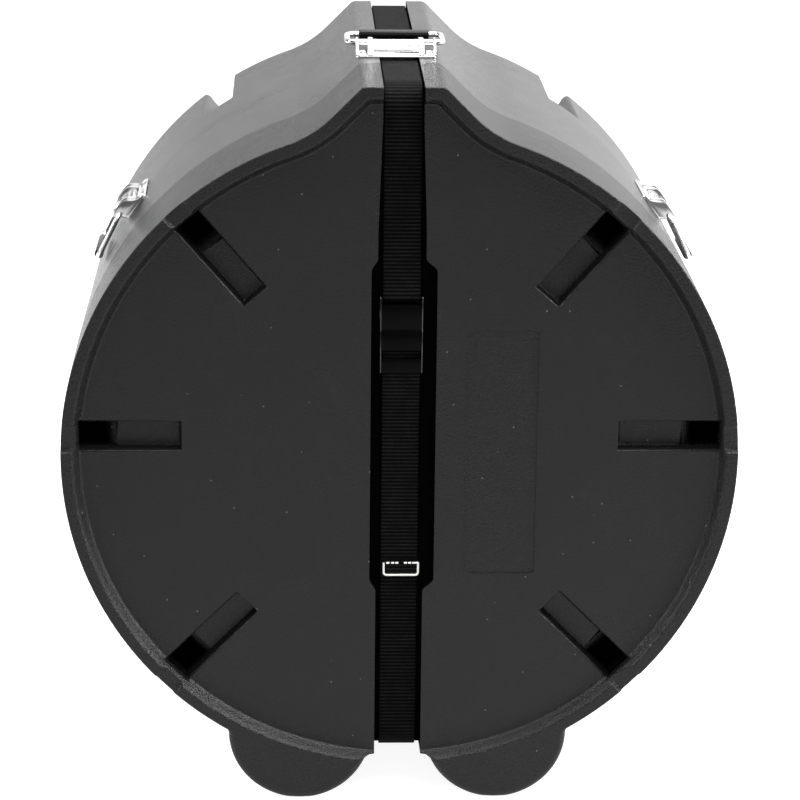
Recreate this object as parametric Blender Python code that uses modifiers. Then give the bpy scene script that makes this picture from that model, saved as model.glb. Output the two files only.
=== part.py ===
"""Drum case on its rim: two moulded half shells, a webbing strap with a side release
buckle in a channel round the case, and three folding chrome handles.
Units are metres, +Z is up, the lid faces -Y and the feet stand on Z = 0."""

import math

import bmesh
import bpy
from mathutils import Matrix, Vector

# Overall sizes
body_radius = 0.345
case_depth = 0.535
wall = 0.004
seat_gap = 0.0003
overrun = 0.006
weld_distance = 0.00001

# Ridge along the top, its rise from the round body and half its width
ridge_rise = 0.038
ridge_half = 0.041
ramp_fillet = 0.116
crest_round = 0.010
crest_share = 0.25

# Feet, with the height of their centres above the lowest line of the round body
foot_radius = 0.075
foot_offset = 0.102
foot_lift = 0.045
foot_setback = 0.008
foot_gap_half = 0.040
tread_cut = 0.002

# Rim bead and recessed faces
bead_width = 0.0216
face_recess = 0.013
rear_recess = 0.008
bead_bevel = 0.0088

# Parting of lid and base
lid_depth = 0.130
tongue_reach = 0.028
tongue_flange = 0.005
tongue_clearance = 0.0008

# Channel for the strap, its floor measured in from the body's low line and the ridge
channel_half = 0.024
channel_depth = 0.025
channel_rear_depth = 0.0085
channel_foot = 0.018
channel_crown = 0.005
channel_corner = 0.025
channel_rear_corner = 0.010
pocket_half = 0.032
pocket_bottom = -0.147
pocket_top = 0.207

# Radial slots in the lid face and notches at the rear rim, measured in from the rim
slot_half = 0.015
slot_inner_inset = 0.1225
slot_roll_inset = 0.059
slot_fall_inset = 0.045
slot_outer_inset = 0.0185
slot_depth = 0.026
pit_depth = 0.053
slot_roll_share = 0.33
dent_depth = 0.004
side_slot_rise = 0.0215
upper_slot_angle = 48.8
lower_slot_angle = -45.3
notch_half = 0.0175
notch_inset = 0.027
notch_length = 0.140
notch_run_in = 0.010
upper_notch_angle = 55.8
lower_notch_angle = -48.0

# Bare name plate recess
plate_recess_left = 0.066
plate_recess_right = 0.139
plate_recess_low = -0.127
plate_recess_high = 0.133
plate_recess_depth = 0.0016

# Webbing
web_width = 0.038
web_thickness = 0.002
web_bend = 0.004
web_tail_end = -0.1315
web_ease = 0.012
end_tab_height = 0.0165
end_tab_thickness = 0.0022
end_tab_shift = 0.002
sewn_return = 0.026

# Buckle, placed by its socket bar above the axis of the round body
buckle_half = 0.0222
rail_inner = 0.0194
buckle_front = 0.0118
bar_radius = 0.002
socket_bar_height = 0.165
socket_bar_drop = 0.007
socket_mouth_drop = 0.032
plug_shoulder_drop = 0.0215
plug_bar_drop = 0.0045
end_bar_drop = 0.004
end_bar_height = 0.015
throat_half = 0.0172
throat_wall = 0.002
throat_roof = 0.0015
window_sill = 0.006
window_head = 0.0045
prong_thickness = 0.0042
prong_tip_gap = 0.0015
prong_root_depth = 0.006
prong_swing = 0.0008
guide_half = 0.003

# Folding handles, in a frame with X along the hinge, Y towards the grip and Z outwards
top_handle_front = 0.158
top_handle_shift = -0.003
side_handle_front = 0.240
side_handle_angle = 36.8
base_half_width = 0.0415
base_length = 0.033
base_thickness = 0.002
cheek_spans = ((0.0235, 0.0290), (0.0388, 0.0413))
cheek_height = 0.016
cheek_profile_shares = ((0.03, 0.0), (0.03, 0.125), (0.28, 0.16), (0.50, 0.80), (0.76, 1.0),
                        (1.18, 0.96), (1.22, 0.72), (0.97, 0.0))
hinge_setback = 0.0345
hinge_height = 0.0105
wire_radius = 0.003
wire_clearance = 0.0002
arm_length = 0.050
wire_half_width = 0.0495
wire_corner = 0.008
grip_radius = 0.0048
grip_half_length = 0.037
grip_rise = 0.0105
side_grip_rise = 0.0015
rivet_across = 0.0345
rivet_spots = (-0.0105, 0.0045)
rivet_head_radius = 0.0036
rivet_head_height = 0.0018
rivet_head_shares = ((0.0, 1.0), (0.6, 0.8), (1.0, 0.25))
rivet_shank_radius = 0.0018
rivet_tail_radius = 0.0031
rivet_tail_height = 0.0015

# Numbers of segments
circle_steps = 64
fillet_steps = 4
round_steps = 3
foot_steps = 7
wire_steps = 3
loop_steps = 6
rivet_steps = 10
bore_steps = 12

front = -case_depth / 2
back = case_depth / 2
parting = front + lid_depth
foot_drop = body_radius - foot_lift
centre_height = foot_drop + foot_radius - tread_cut
ridge_top = body_radius + ridge_rise
ramp_line = (ridge_half + ridge_top) / math.sqrt(2.0)
channel_low = body_radius - channel_foot
channel_top = ridge_top - channel_crown
base_half_length = base_length / 2
hinge_along = hinge_setback - base_half_length
diagonal = math.sqrt(2)
case_parts = "drum_case"


def clear_scene():
    """Remove everything the session starts with."""
    for thing in list(bpy.data.objects):
        bpy.data.objects.remove(thing, do_unlink=True)
    for group in list(bpy.data.collections):
        bpy.data.collections.remove(group)


def make_material(name, colour, roughness, metallic):
    """One plain Principled material."""
    material = bpy.data.materials.new(name)
    material.use_nodes = True
    shader = material.node_tree.nodes["Principled BSDF"]
    shader.inputs["Base Color"].default_value = (*colour, 1.0)
    shader.inputs["Roughness"].default_value = roughness
    shader.inputs["Metallic"].default_value = metallic
    material.diffuse_color = (*colour, 1.0)
    return material


def add_object(name, mesh, group):
    """Put a mesh into a collection as a named object."""
    thing = bpy.data.objects.new(name, mesh)
    group.objects.link(thing)
    return thing


def make_cutter(thing):
    """Mark an object as a tool that is not part of the result."""
    thing.hide_render = True
    thing.display_type = "WIRE"
    return thing


def plate_mesh(name, loops, half_thickness, matrix):
    """Flat outline with any holes, filled and thickened, then turned into place."""
    curve = bpy.data.curves.new(name, "CURVE")
    curve.dimensions = "2D"
    curve.fill_mode = "BOTH"
    curve.extrude = half_thickness
    for loop in loops:
        spline = curve.splines.new("POLY")
        spline.points.add(len(loop) - 1)
        for point, place in zip(spline.points, loop):
            point.co = (place[0], place[1], 0.0, 1.0)
        spline.use_cyclic_u = True
    holder = bpy.data.objects.new(name, curve)
    bpy.context.scene.collection.objects.link(holder)
    graph = bpy.context.evaluated_depsgraph_get()
    mesh = bpy.data.meshes.new_from_object(holder.evaluated_get(graph))
    bpy.data.objects.remove(holder, do_unlink=True)
    bpy.data.curves.remove(curve)
    work = bmesh.new()
    work.from_mesh(mesh)
    bmesh.ops.remove_doubles(work, verts=work.verts, dist=weld_distance)
    bmesh.ops.transform(work, matrix=matrix, verts=work.verts)
    bmesh.ops.recalc_face_normals(work, faces=work.faces)
    work.to_mesh(mesh)
    work.free()
    mesh.name = name
    return mesh


def across(centre_y):
    """Frame for outlines in X and Z, thickened along Y."""
    shift = Matrix.Translation((0.0, centre_y, centre_height))
    return shift @ Matrix.Rotation(math.pi / 2, 4, "X")


def along(centre_x):
    """Frame for outlines in Y and Z, thickened along X."""
    turn = Matrix(((0, 0, 1, 0), (1, 0, 0, 0), (0, 1, 0, 0), (0, 0, 0, 1)))
    return Matrix.Translation((centre_x, 0.0, centre_height)) @ turn


def box_mesh(name, low, high):
    """Box between two corners."""
    mesh = bpy.data.meshes.new(name)
    work = bmesh.new()
    size = Vector(high) - Vector(low)
    middle = (Vector(high) + Vector(low)) / 2
    place = Matrix.Translation(middle) @ Matrix.Diagonal((*size, 1.0))
    bmesh.ops.create_cube(work, size=1.0, matrix=place)
    work.to_mesh(mesh)
    work.free()
    return mesh


def rod_mesh(name, start, end, radius, steps):
    """Round rod between two points."""
    mesh = bpy.data.meshes.new(name)
    work = bmesh.new()
    start, end = Vector(start), Vector(end)
    turn = (end - start).to_track_quat("Z", "Y").to_matrix().to_4x4()
    place = Matrix.Translation((start + end) / 2) @ turn
    bmesh.ops.create_cone(work, cap_ends=True, segments=steps, radius1=radius,
                          radius2=radius, depth=(end - start).length, matrix=place)
    work.to_mesh(mesh)
    work.free()
    return mesh


def arc(centre_x, centre_y, radius, start, end, steps):
    """Points of an arc, angles in degrees."""
    points = []
    for index in range(steps + 1):
        angle = math.radians(start + (end - start) * index / steps)
        points.append((centre_x + radius * math.cos(angle),
                       centre_y + radius * math.sin(angle)))
    return points


def boolean(thing, cutter, operation):
    """Live exact boolean."""
    step = thing.modifiers.new(operation.lower(), "BOOLEAN")
    step.operation = operation
    step.solver = "EXACT"
    step.object = cutter


def bake(thing):
    """Replace the mesh of an object by its evaluated result."""
    graph = bpy.context.evaluated_depsgraph_get()
    mesh = bpy.data.meshes.new_from_object(thing.evaluated_get(graph))
    thing.modifiers.clear()
    thing.data = mesh


def close_seams(thing):
    """Bake an object and join open edges to the vertices that lie along them."""
    bake(thing)
    work = bmesh.new()
    work.from_mesh(thing.data)
    for edge in [item for item in work.edges if len(item.link_faces) == 1]:
        first, last = edge.verts
        line = last.co - first.co
        loose = {vert for item in work.edges if len(item.link_faces) == 1
                 for vert in item.verts} - {first, last}
        for vert in loose:
            share = (vert.co - first.co).dot(line) / line.length_squared
            apart = (first.co + line * share - vert.co).length
            if 0.0 < share < 1.0 and apart < weld_distance:
                middle = bmesh.utils.edge_split(edge, first, share)[1]
                middle.co = vert.co
                break
    open_verts = {vert for item in work.edges if len(item.link_faces) == 1
                  for vert in item.verts}
    bmesh.ops.remove_doubles(work, verts=list(open_verts), dist=weld_distance)
    work.to_mesh(thing.data)
    work.free()
    return thing


def crest_corner(inset):
    """Radius of the ridge's upper corners and how far from the middle they begin."""
    crest = max(crest_round - inset, crest_round * crest_share)
    line = ramp_line - inset
    return crest, (line - crest) * diagonal - (ridge_top - inset - crest)


def body_outline(inset):
    """Outline of the round body with the ridge on top, moved inwards by inset."""
    radius = body_radius - inset
    line = ramp_line - inset
    fillet = ramp_fillet + inset
    reach = math.sqrt((radius + fillet) ** 2 - (line + fillet) ** 2)
    fillet_x = (line + fillet - reach) / diagonal
    fillet_z = (line + fillet + reach) / diagonal
    junction = math.degrees(math.atan2(fillet_z, fillet_x))
    crest, crest_x = crest_corner(inset)
    crest_z = ridge_top - inset - crest
    count = round(circle_steps * (junction + 90.0) / 360.0)
    right = arc(0.0, 0.0, radius, -90.0, junction, count)
    right += arc(fillet_x, fillet_z, fillet, junction + 180.0, 225.0, fillet_steps)[1:]
    right += arc(crest_x, crest_z, crest, 45.0, 90.0, round_steps)
    left = [(-x, z) for x, z in reversed(right[1:])]
    return right + left


def foot_outline(side, inset):
    """Half round foot with a flat tread, closed inside the body."""
    radius = foot_radius - inset
    tread = math.degrees(math.asin((radius - tread_cut) / radius))
    outer = arc(foot_offset, -foot_drop, radius, 20.0, -tread, foot_steps)
    inner = arc(foot_offset, -foot_drop, radius, tread - 180.0, -200.0, foot_steps)
    points = outer + inner
    if side < 0:
        points = [(-x, z) for x, z in reversed(points)]
    return points


def slab(name, outline, start, end, group):
    """Solid of an X and Z outline from one depth to another."""
    mesh = plate_mesh(name, [outline], (end - start) / 2, across((start + end) / 2))
    return add_object(name, mesh, group)


def core_outline(inset):
    """Side outline of the channel's floor, moved inwards by inset."""
    corner, rear = channel_corner - inset, channel_rear_corner - inset
    low_y, high_y = front + channel_depth + inset, back - channel_rear_depth - inset
    low_z, high_z = -channel_low + inset, channel_top - inset
    points = arc(low_y + corner, low_z + corner, corner, 180.0, 270.0, fillet_steps)
    points += arc(high_y - rear, low_z + rear, rear, 270.0, 360.0, fillet_steps)
    points += arc(high_y - rear, high_z - rear, rear, 0.0, 90.0, fillet_steps)
    points += arc(low_y + corner, high_z - corner, corner, 90.0, 180.0, fillet_steps)
    return points


def channel_tool(name, inset, group):
    """Ring that cuts the strap's channel, widened by inset."""
    reach = overrun + inset
    outer = [(front - reach, -centre_height - reach), (back + reach, -centre_height - reach),
             (back + reach, ridge_top + reach), (front - reach, ridge_top + reach)]
    mesh = plate_mesh(name, [outer, core_outline(inset)], channel_half + inset, along(0.0))
    return make_cutter(add_object(name, mesh, group))


def foot_gap_tool(name, inset, group):
    """Takes the low strip of the round body away between the feet."""
    reach = overrun + inset
    low = (-foot_gap_half - inset, front - reach, -reach)
    high = (foot_gap_half + inset, back + reach, centre_height - channel_low + inset)
    return make_cutter(add_object(name, box_mesh(name, low, high), group))


def pocket_tool(name, inset, group):
    """Wider part of the channel round the buckle."""
    low = (-pocket_half - inset, front - overrun, centre_height + pocket_bottom - inset)
    high = (pocket_half + inset, front + channel_depth + inset,
            centre_height + pocket_top + inset)
    return make_cutter(add_object(name, box_mesh(name, low, high), group))


def turned_frame(angle, rise):
    """Frame with its first axis outwards at an angle, second along Y, third across."""
    outwards = Vector((math.cos(math.radians(angle)), 0.0, math.sin(math.radians(angle))))
    depth = Vector((0.0, 1.0, 0.0))
    side = outwards.cross(depth)
    turn = Matrix((outwards, depth, side)).transposed().to_4x4()
    return Matrix.Translation((0.0, 0.0, centre_height + rise)) @ turn


def slot_profile(inset):
    """Depth profile of a radial slot, from the middle of the face to the rim."""
    shallow, deep = front + slot_depth + inset, front + pit_depth + inset
    near = front - overrun
    inner, outer = body_radius - slot_inner_inset, body_radius - slot_outer_inset
    roll, fall = body_radius - slot_roll_inset, body_radius - slot_fall_inset
    points = [(inner - inset, near), (inner - inset, shallow), (roll, shallow)]
    points += [((roll + fall) / 2, shallow + (fall - roll) * slot_roll_share)]
    points += [(fall - inset * slot_roll_share, deep), (outer + inset, deep)]
    if inset > 0:
        points += [(outer + inset, near)]
    else:
        points += [(outer, front + 2 * dent_depth),
                   (body_radius + overrun, front + dent_depth),
                   (body_radius + overrun, near)]
    return points


def slot_places():
    """Directions and heights of the six slots of the lid."""
    return ((upper_slot_angle, 0.0), (180.0 - upper_slot_angle, 0.0),
            (0.0, side_slot_rise), (180.0, side_slot_rise),
            (lower_slot_angle, 0.0), (180.0 - lower_slot_angle, 0.0))


def slot_tool(name, place, inset, group):
    """Cutter of one slot."""
    mesh = plate_mesh(name, [slot_profile(inset)], slot_half + inset, turned_frame(*place))
    return make_cutter(add_object(name, mesh, group))


def notch_places():
    """Directions and heights of the six notches at the rear rim."""
    return ((upper_notch_angle, 0.0), (180.0 - upper_notch_angle, 0.0),
            (0.0, side_slot_rise), (180.0, side_slot_rise),
            (lower_notch_angle, 0.0), (180.0 - lower_notch_angle, 0.0))


def notch_tool(name, place, inset, group):
    """Cutter of one rear notch."""
    floor = body_radius - notch_inset - inset
    start, stop = back - notch_length - inset, back + overrun
    edge = body_radius + overrun + inset
    profile = [(floor, start + notch_run_in), (edge, start), (edge, stop), (floor, stop)]
    mesh = plate_mesh(name, [profile], notch_half + inset, turned_frame(*place))
    return make_cutter(add_object(name, mesh, group))


def weigh_rim(thing, plane):
    """Give the two edge loops of the rim bead a bevel weight."""
    work = bmesh.new()
    work.from_mesh(thing.data)
    layer = work.edges.layers.float.get("bevel_weight_edge")
    if layer is None:
        layer = work.edges.layers.float.new("bevel_weight_edge")
    for edge in work.edges:
        flat = all(abs(vert.co.y - plane) < weld_distance for vert in edge.verts)
        if flat and len(edge.link_faces) == 2:
            normals = [face.normal for face in edge.link_faces]
            if abs(normals[0].dot(normals[1])) < 0.5:
                edge[layer] = 1.0
    work.to_mesh(thing.data)
    work.free()


def shell_blank(name, ends, plane, depth, group, tools):
    """Outer solid of one half with its rim bead and recessed face."""
    thing = slab(name, body_outline(0.0), *ends, group)
    if plane < 0:
        low, high = plane - overrun, plane + depth
    else:
        low, high = plane - depth, plane + overrun
    recess = make_cutter(slab(name + "_face", body_outline(bead_width), low, high, tools))
    boolean(thing, recess, "DIFFERENCE")
    bake(thing)
    weigh_rim(thing, plane)
    bevel = thing.modifiers.new("bead", "BEVEL")
    bevel.limit_method = "WEIGHT"
    bevel.width = bead_bevel
    bevel.segments = round_steps
    boolean(thing, foot_gap_tool(name + "_foot_gap", 0.0, tools), "DIFFERENCE")
    return thing


def add_feet(thing, name, start, end, inset, tools):
    """Join the two foot bumps to a solid."""
    for side, word in ((1, "right"), (-1, "left")):
        label = name + "_foot_" + word
        foot = make_cutter(slab(label, foot_outline(side, inset), start, end, tools))
        boolean(thing, foot, "UNION")


def cut_rivet_holes(thing, tools):
    """Holes for the rivets of the three handles."""
    for word, frame in handle_frames().items():
        for index, spot in enumerate(rivet_places()):
            label = "hole_" + word + "_" + str(index)
            mesh = rod_mesh(label, (spot[0], spot[1], -wall - overrun),
                            (spot[0], spot[1], overrun),
                            rivet_shank_radius + seat_gap, rivet_steps)
            mesh.transform(frame)
            boolean(thing, make_cutter(add_object(label, mesh, tools)), "DIFFERENCE")


def make_front_shell(group, tools):
    """Lid half with face slots, channel and bare name plate recess."""
    thing = shell_blank("front_shell", (front, parting), front, face_recess, group, tools)
    add_feet(thing, "front", front + foot_setback, parting, 0.0, tools)
    cavity = make_cutter(slab("front_cavity", body_outline(wall),
                              front + face_recess + wall, parting + overrun, tools))
    boolean(cavity, foot_gap_tool("front_foot_gap_wall", wall, tools), "DIFFERENCE")
    add_feet(cavity, "front_cavity", front + foot_setback + wall,
             parting + overrun, wall, tools)
    boolean(cavity, channel_tool("front_channel_wall", wall, tools), "DIFFERENCE")
    boolean(cavity, pocket_tool("pocket_wall", wall, tools), "DIFFERENCE")
    for index, place in enumerate(slot_places()):
        label = "slot_wall_" + str(index)
        boolean(cavity, slot_tool(label, place, wall, tools), "DIFFERENCE")
    boolean(thing, cavity, "DIFFERENCE")
    boolean(thing, channel_tool("front_channel", 0.0, tools), "DIFFERENCE")
    boolean(thing, pocket_tool("pocket", 0.0, tools), "DIFFERENCE")
    for index, place in enumerate(slot_places()):
        boolean(thing, slot_tool("slot_" + str(index), place, 0.0, tools), "DIFFERENCE")
    face = front + face_recess
    low = (plate_recess_left, face - overrun, centre_height + plate_recess_low)
    high = (plate_recess_right, face + plate_recess_depth, centre_height + plate_recess_high)
    recess = add_object("name_plate", box_mesh("name_plate", low, high), tools)
    boolean(thing, make_cutter(recess), "DIFFERENCE")
    return close_seams(thing)


def make_rear_shell(group, tools):
    """Base half with the tongue that enters the lid."""
    start = parting + seat_gap
    thing = shell_blank("rear_shell", (start, back), back, rear_recess, group, tools)
    add_feet(thing, "rear", start, back - foot_setback, 0.0, tools)
    lip = body_radius - wall - tongue_clearance
    bore = lip - wall
    ring = plate_mesh("tongue", [arc(0.0, 0.0, lip, 0.0, 360.0, circle_steps)[:-1]],
                      (tongue_reach + tongue_flange) / 2,
                      across(start + (tongue_flange - tongue_reach) / 2))
    tongue = make_cutter(add_object("tongue", ring, tools))
    spare = wall + tongue_clearance
    boolean(tongue, channel_tool("tongue_channel", spare, tools), "DIFFERENCE")
    boolean(tongue, foot_gap_tool("tongue_foot_gap", spare, tools), "DIFFERENCE")
    boolean(thing, tongue, "UNION")
    cavity = make_cutter(slab("rear_cavity", body_outline(wall), start + tongue_flange,
                              back - rear_recess - wall, tools))
    boolean(cavity, foot_gap_tool("rear_foot_gap_wall", wall, tools), "DIFFERENCE")
    add_feet(cavity, "rear_cavity", start + tongue_flange,
             back - foot_setback - wall, wall, tools)
    mouth = plate_mesh("mouth", [arc(0.0, 0.0, bore, 0.0, 360.0, circle_steps)[:-1]],
                       (tongue_reach + 2 * tongue_flange + overrun) / 2,
                       across(start - (tongue_reach - 2 * tongue_flange + overrun) / 2))
    mouth = make_cutter(add_object("mouth", mouth, tools))
    boolean(mouth, channel_tool("mouth_channel_wall", spare + wall, tools), "DIFFERENCE")
    boolean(mouth, foot_gap_tool("mouth_foot_gap", spare + wall, tools), "DIFFERENCE")
    boolean(cavity, channel_tool("rear_channel_wall", wall, tools), "DIFFERENCE")
    boolean(cavity, mouth, "UNION")
    for index, place in enumerate(notch_places()):
        label = "notch_wall_" + str(index)
        boolean(cavity, notch_tool(label, place, wall, tools), "DIFFERENCE")
    boolean(thing, cavity, "DIFFERENCE")
    boolean(thing, channel_tool("rear_channel", 0.0, tools), "DIFFERENCE")
    for index, place in enumerate(notch_places()):
        boolean(thing, notch_tool("notch_" + str(index), place, 0.0, tools), "DIFFERENCE")
    cut_rivet_holes(thing, tools)
    return close_seams(thing)


def ribbon(name, points, width, thickness, shift, group):
    """Flat webbing along a centre line in Y and Z."""
    mesh = bpy.data.meshes.new(name)
    work = bmesh.new()
    verts = [work.verts.new((shift - width / 2, y, centre_height + z)) for y, z in points]
    edges = [work.edges.new(pair) for pair in zip(verts, verts[1:])]
    swept = bmesh.ops.extrude_edge_only(work, edges=edges)
    fresh = [item for item in swept["geom"] if isinstance(item, bmesh.types.BMVert)]
    bmesh.ops.translate(work, vec=(width, 0.0, 0.0), verts=fresh)
    work.to_mesh(mesh)
    work.free()
    thing = add_object(name, mesh, group)
    solid = thing.modifiers.new("thickness", "SOLIDIFY")
    solid.thickness = thickness
    solid.offset = 0.0
    solid.use_even_offset = True
    return thing


# Depths of the webbing layers at the buckle
floor_layer = front + channel_depth - seat_gap - web_thickness / 2
bar_depth = floor_layer - web_thickness / 2 - seat_gap - bar_radius
loop_layer = bar_depth - bar_radius - seat_gap - web_thickness / 2
close_layer = floor_layer - web_thickness - seat_gap
loop_bend = (floor_layer - loop_layer) / 2
buckle_back = bar_depth + bar_radius + seat_gap / 2
socket_top = socket_bar_height + bar_radius + seat_gap
socket_block_top = socket_bar_height - socket_bar_drop
throat_top = socket_block_top - throat_roof
socket_mouth = socket_bar_height - socket_mouth_drop
window_low = socket_mouth + window_sill
window_high = throat_top - window_head
plug_shoulder = socket_mouth - plug_shoulder_drop
plug_bar_height = plug_shoulder - plug_bar_drop
end_bar_high = plug_bar_height - end_bar_drop
end_bar_low = end_bar_high - end_bar_height
prong_tip = throat_top - prong_tip_gap
prong_seat_low = socket_mouth - prong_root_depth


def make_straps(group):
    """Four lengths of webbing, cut where the lid parts from the base."""
    lift = seat_gap + web_thickness / 2
    bend, rear_bend = channel_corner + lift, channel_rear_corner + lift
    low_y, high_y = front + channel_depth - lift, back - channel_rear_depth + lift
    low_z, high_z = -channel_low - lift, channel_top + lift
    top_corner = arc(low_y + bend, high_z - bend, bend, 90.0, 180.0, fillet_steps)
    low_corner = arc(low_y + bend, low_z + bend, bend, 270.0, 180.0, fillet_steps)
    turn = arc(bar_depth, socket_bar_height, loop_bend, 180.0, 360.0, loop_steps)
    settle = socket_bar_height + sewn_return
    upper = [(parting - seat_gap, high_z)] + top_corner
    upper += [(low_y, settle + 3 * web_ease), (close_layer, settle + web_ease)]
    upper += [(close_layer, socket_bar_height + web_ease + web_bend)] + turn
    upper += [(floor_layer, settle)]
    turn = arc(bar_depth, plug_bar_height, loop_bend, 0.0, -180.0, loop_steps)
    turn = [(y, 2 * plug_bar_height - z) for y, z in turn]
    lower = [(parting - seat_gap, low_z)] + low_corner + turn
    lower += [(loop_layer, plug_bar_height - 3 * web_ease),
              (close_layer, plug_bar_height - 6 * web_ease), (close_layer, web_tail_end)]
    rear = [(parting + seat_gap, high_z)]
    rear += arc(high_y - rear_bend, high_z - rear_bend, rear_bend, 90.0, 0.0, fillet_steps)
    rear += arc(high_y - rear_bend, low_z + rear_bend, rear_bend, 360.0, 270.0, fillet_steps)
    rear += [(parting + seat_gap, low_z)]
    tab_layer = close_layer - web_thickness / 2 - seat_gap - end_tab_thickness / 2
    tab = [(tab_layer, web_tail_end + end_tab_height), (tab_layer, web_tail_end)]
    return (ribbon("strap_lid_upper", upper, web_width, web_thickness, 0.0, group),
            ribbon("strap_lid_lower", lower, web_width, web_thickness, 0.0, group),
            ribbon("strap_rear", rear, web_width, web_thickness, 0.0, group),
            ribbon("strap_end_tab", tab, web_width, end_tab_thickness, end_tab_shift, group))


def put_union(thing, mesh, tools):
    """Join one more simple solid to an object."""
    boolean(thing, make_cutter(add_object(mesh.name, mesh, tools)), "UNION")


def put_cut(thing, mesh, tools):
    """Take one simple solid away from an object."""
    boolean(thing, make_cutter(add_object(mesh.name, mesh, tools)), "DIFFERENCE")


def make_socket(group, tools):
    """Upper half of the buckle with its throat, side windows and strap bar."""
    near, far = front + buckle_front, buckle_back
    height = centre_height
    thing = add_object("buckle_socket", box_mesh(
        "buckle_socket", (-buckle_half, near, height + socket_mouth),
        (buckle_half, far, height + socket_top)), group)
    put_cut(thing, box_mesh("socket_gap", (-rail_inner, near - overrun,
                                           height + socket_block_top),
                            (rail_inner, far + overrun, height + socket_top + overrun)),
            tools)
    put_cut(thing, box_mesh("throat", (-throat_half, near + throat_wall,
                                       height + socket_mouth - overrun),
                            (throat_half, far - throat_wall, height + throat_top)), tools)
    put_cut(thing, box_mesh("windows", (-buckle_half - overrun, near + throat_wall,
                                        height + window_low),
                            (buckle_half + overrun, far - throat_wall,
                             height + window_high)), tools)
    put_union(thing, rod_mesh("socket_bar",
                              (-rail_inner - throat_wall / 2, bar_depth,
                               height + socket_bar_height),
                              (rail_inner + throat_wall / 2, bar_depth,
                               height + socket_bar_height), bar_radius, bore_steps), tools)
    return thing


def make_plug(group, tools):
    """Lower half of the buckle with its guide, webbing bar and end bar."""
    near, far = front + buckle_front, buckle_back
    height = centre_height
    thing = add_object("buckle_plug", box_mesh(
        "buckle_plug", (-buckle_half, near, height + end_bar_low),
        (buckle_half, far, height + socket_mouth - seat_gap)), group)
    bar_back = loop_layer - web_thickness / 2 - seat_gap
    gap = [(near - overrun, end_bar_high), (bar_back, end_bar_high),
           (bar_back, end_bar_low - overrun), (far + overrun, end_bar_low - overrun),
           (far + overrun, plug_shoulder), (near - overrun, plug_shoulder)]
    put_cut(thing, plate_mesh("plug_gap", [gap], rail_inner, along(0.0)), tools)
    for side in (1, -1):
        outer = side * throat_half
        inner = side * (throat_half - 2 * seat_gap - prong_thickness - prong_swing)
        put_cut(thing, box_mesh("prong_seat" + str(side),
                                (min(inner, outer), near + throat_wall,
                                 height + prong_seat_low),
                                (max(inner, outer), far - throat_wall,
                                 height + socket_mouth + overrun)), tools)
    put_union(thing, rod_mesh("plug_bar", (-rail_inner - throat_wall / 2, bar_depth,
                                           height + plug_bar_height),
                              (rail_inner + throat_wall / 2, bar_depth,
                               height + plug_bar_height), bar_radius, bore_steps), tools)
    depth_gap = throat_wall + seat_gap
    put_union(thing, box_mesh("guide", (-guide_half, near + depth_gap,
                                        height + plug_shoulder + throat_wall),
                              (guide_half, far - depth_gap, height + prong_tip)), tools)
    return thing


def make_prong(side, word, group):
    """Sprung catch of the plug, rounded at its root and hooked at its tip."""
    near, far = front + buckle_front, buckle_back
    middle = side * (throat_half - seat_gap - prong_thickness / 2)
    half = prong_thickness / 2
    root = prong_seat_low + seat_gap + half
    points = arc(0.0, 0.0, half, 180.0, 360.0, loop_steps)
    points += [(half, prong_tip - root - prong_thickness), (0.0, prong_tip - root)]
    points += [(-half, prong_tip - root)]
    if side < 0:
        points = [(-x, z) for x, z in reversed(points)]
    depth = (near + far) / 2
    thickness = (far - near) / 2 - throat_wall - seat_gap
    name = "buckle_prong_" + word
    mesh = plate_mesh(name, [points], thickness, Matrix.Rotation(math.pi / 2, 4, "X"))
    thing = add_object(name, mesh, group)
    thing.location = (middle, depth, centre_height + root)
    return thing


def handle_frames():
    """Frames of the three handles, standing on the outer wall."""
    top = Matrix.Translation((top_handle_shift, front + top_handle_front + base_half_length,
                              centre_height + ridge_top))
    frames = {"top": top}
    for side, word in ((1, "right"), (-1, "left")):
        angle = math.radians(side_handle_angle)
        outwards = Vector((side * math.cos(angle), 0.0, math.sin(angle)))
        down = Vector((side * math.sin(angle), 0.0, -math.cos(angle)))
        hinge = down.cross(outwards)
        turn = Matrix((hinge, down, outwards)).transposed().to_4x4()
        middle = outwards * body_radius
        place = (middle.x, front + side_handle_front + base_half_width,
                 centre_height + middle.z)
        frames[word] = Matrix.Translation(place) @ turn
    return frames


def rivet_places():
    """Places of the four rivets on a handle's base."""
    return [(side * rivet_across, spot) for side in (-1, 1) for spot in rivet_spots]


def in_handle(thing, frame):
    """Place an object that was modelled in the handle's own frame."""
    thing.matrix_world = frame @ thing.matrix_world
    return thing


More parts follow.
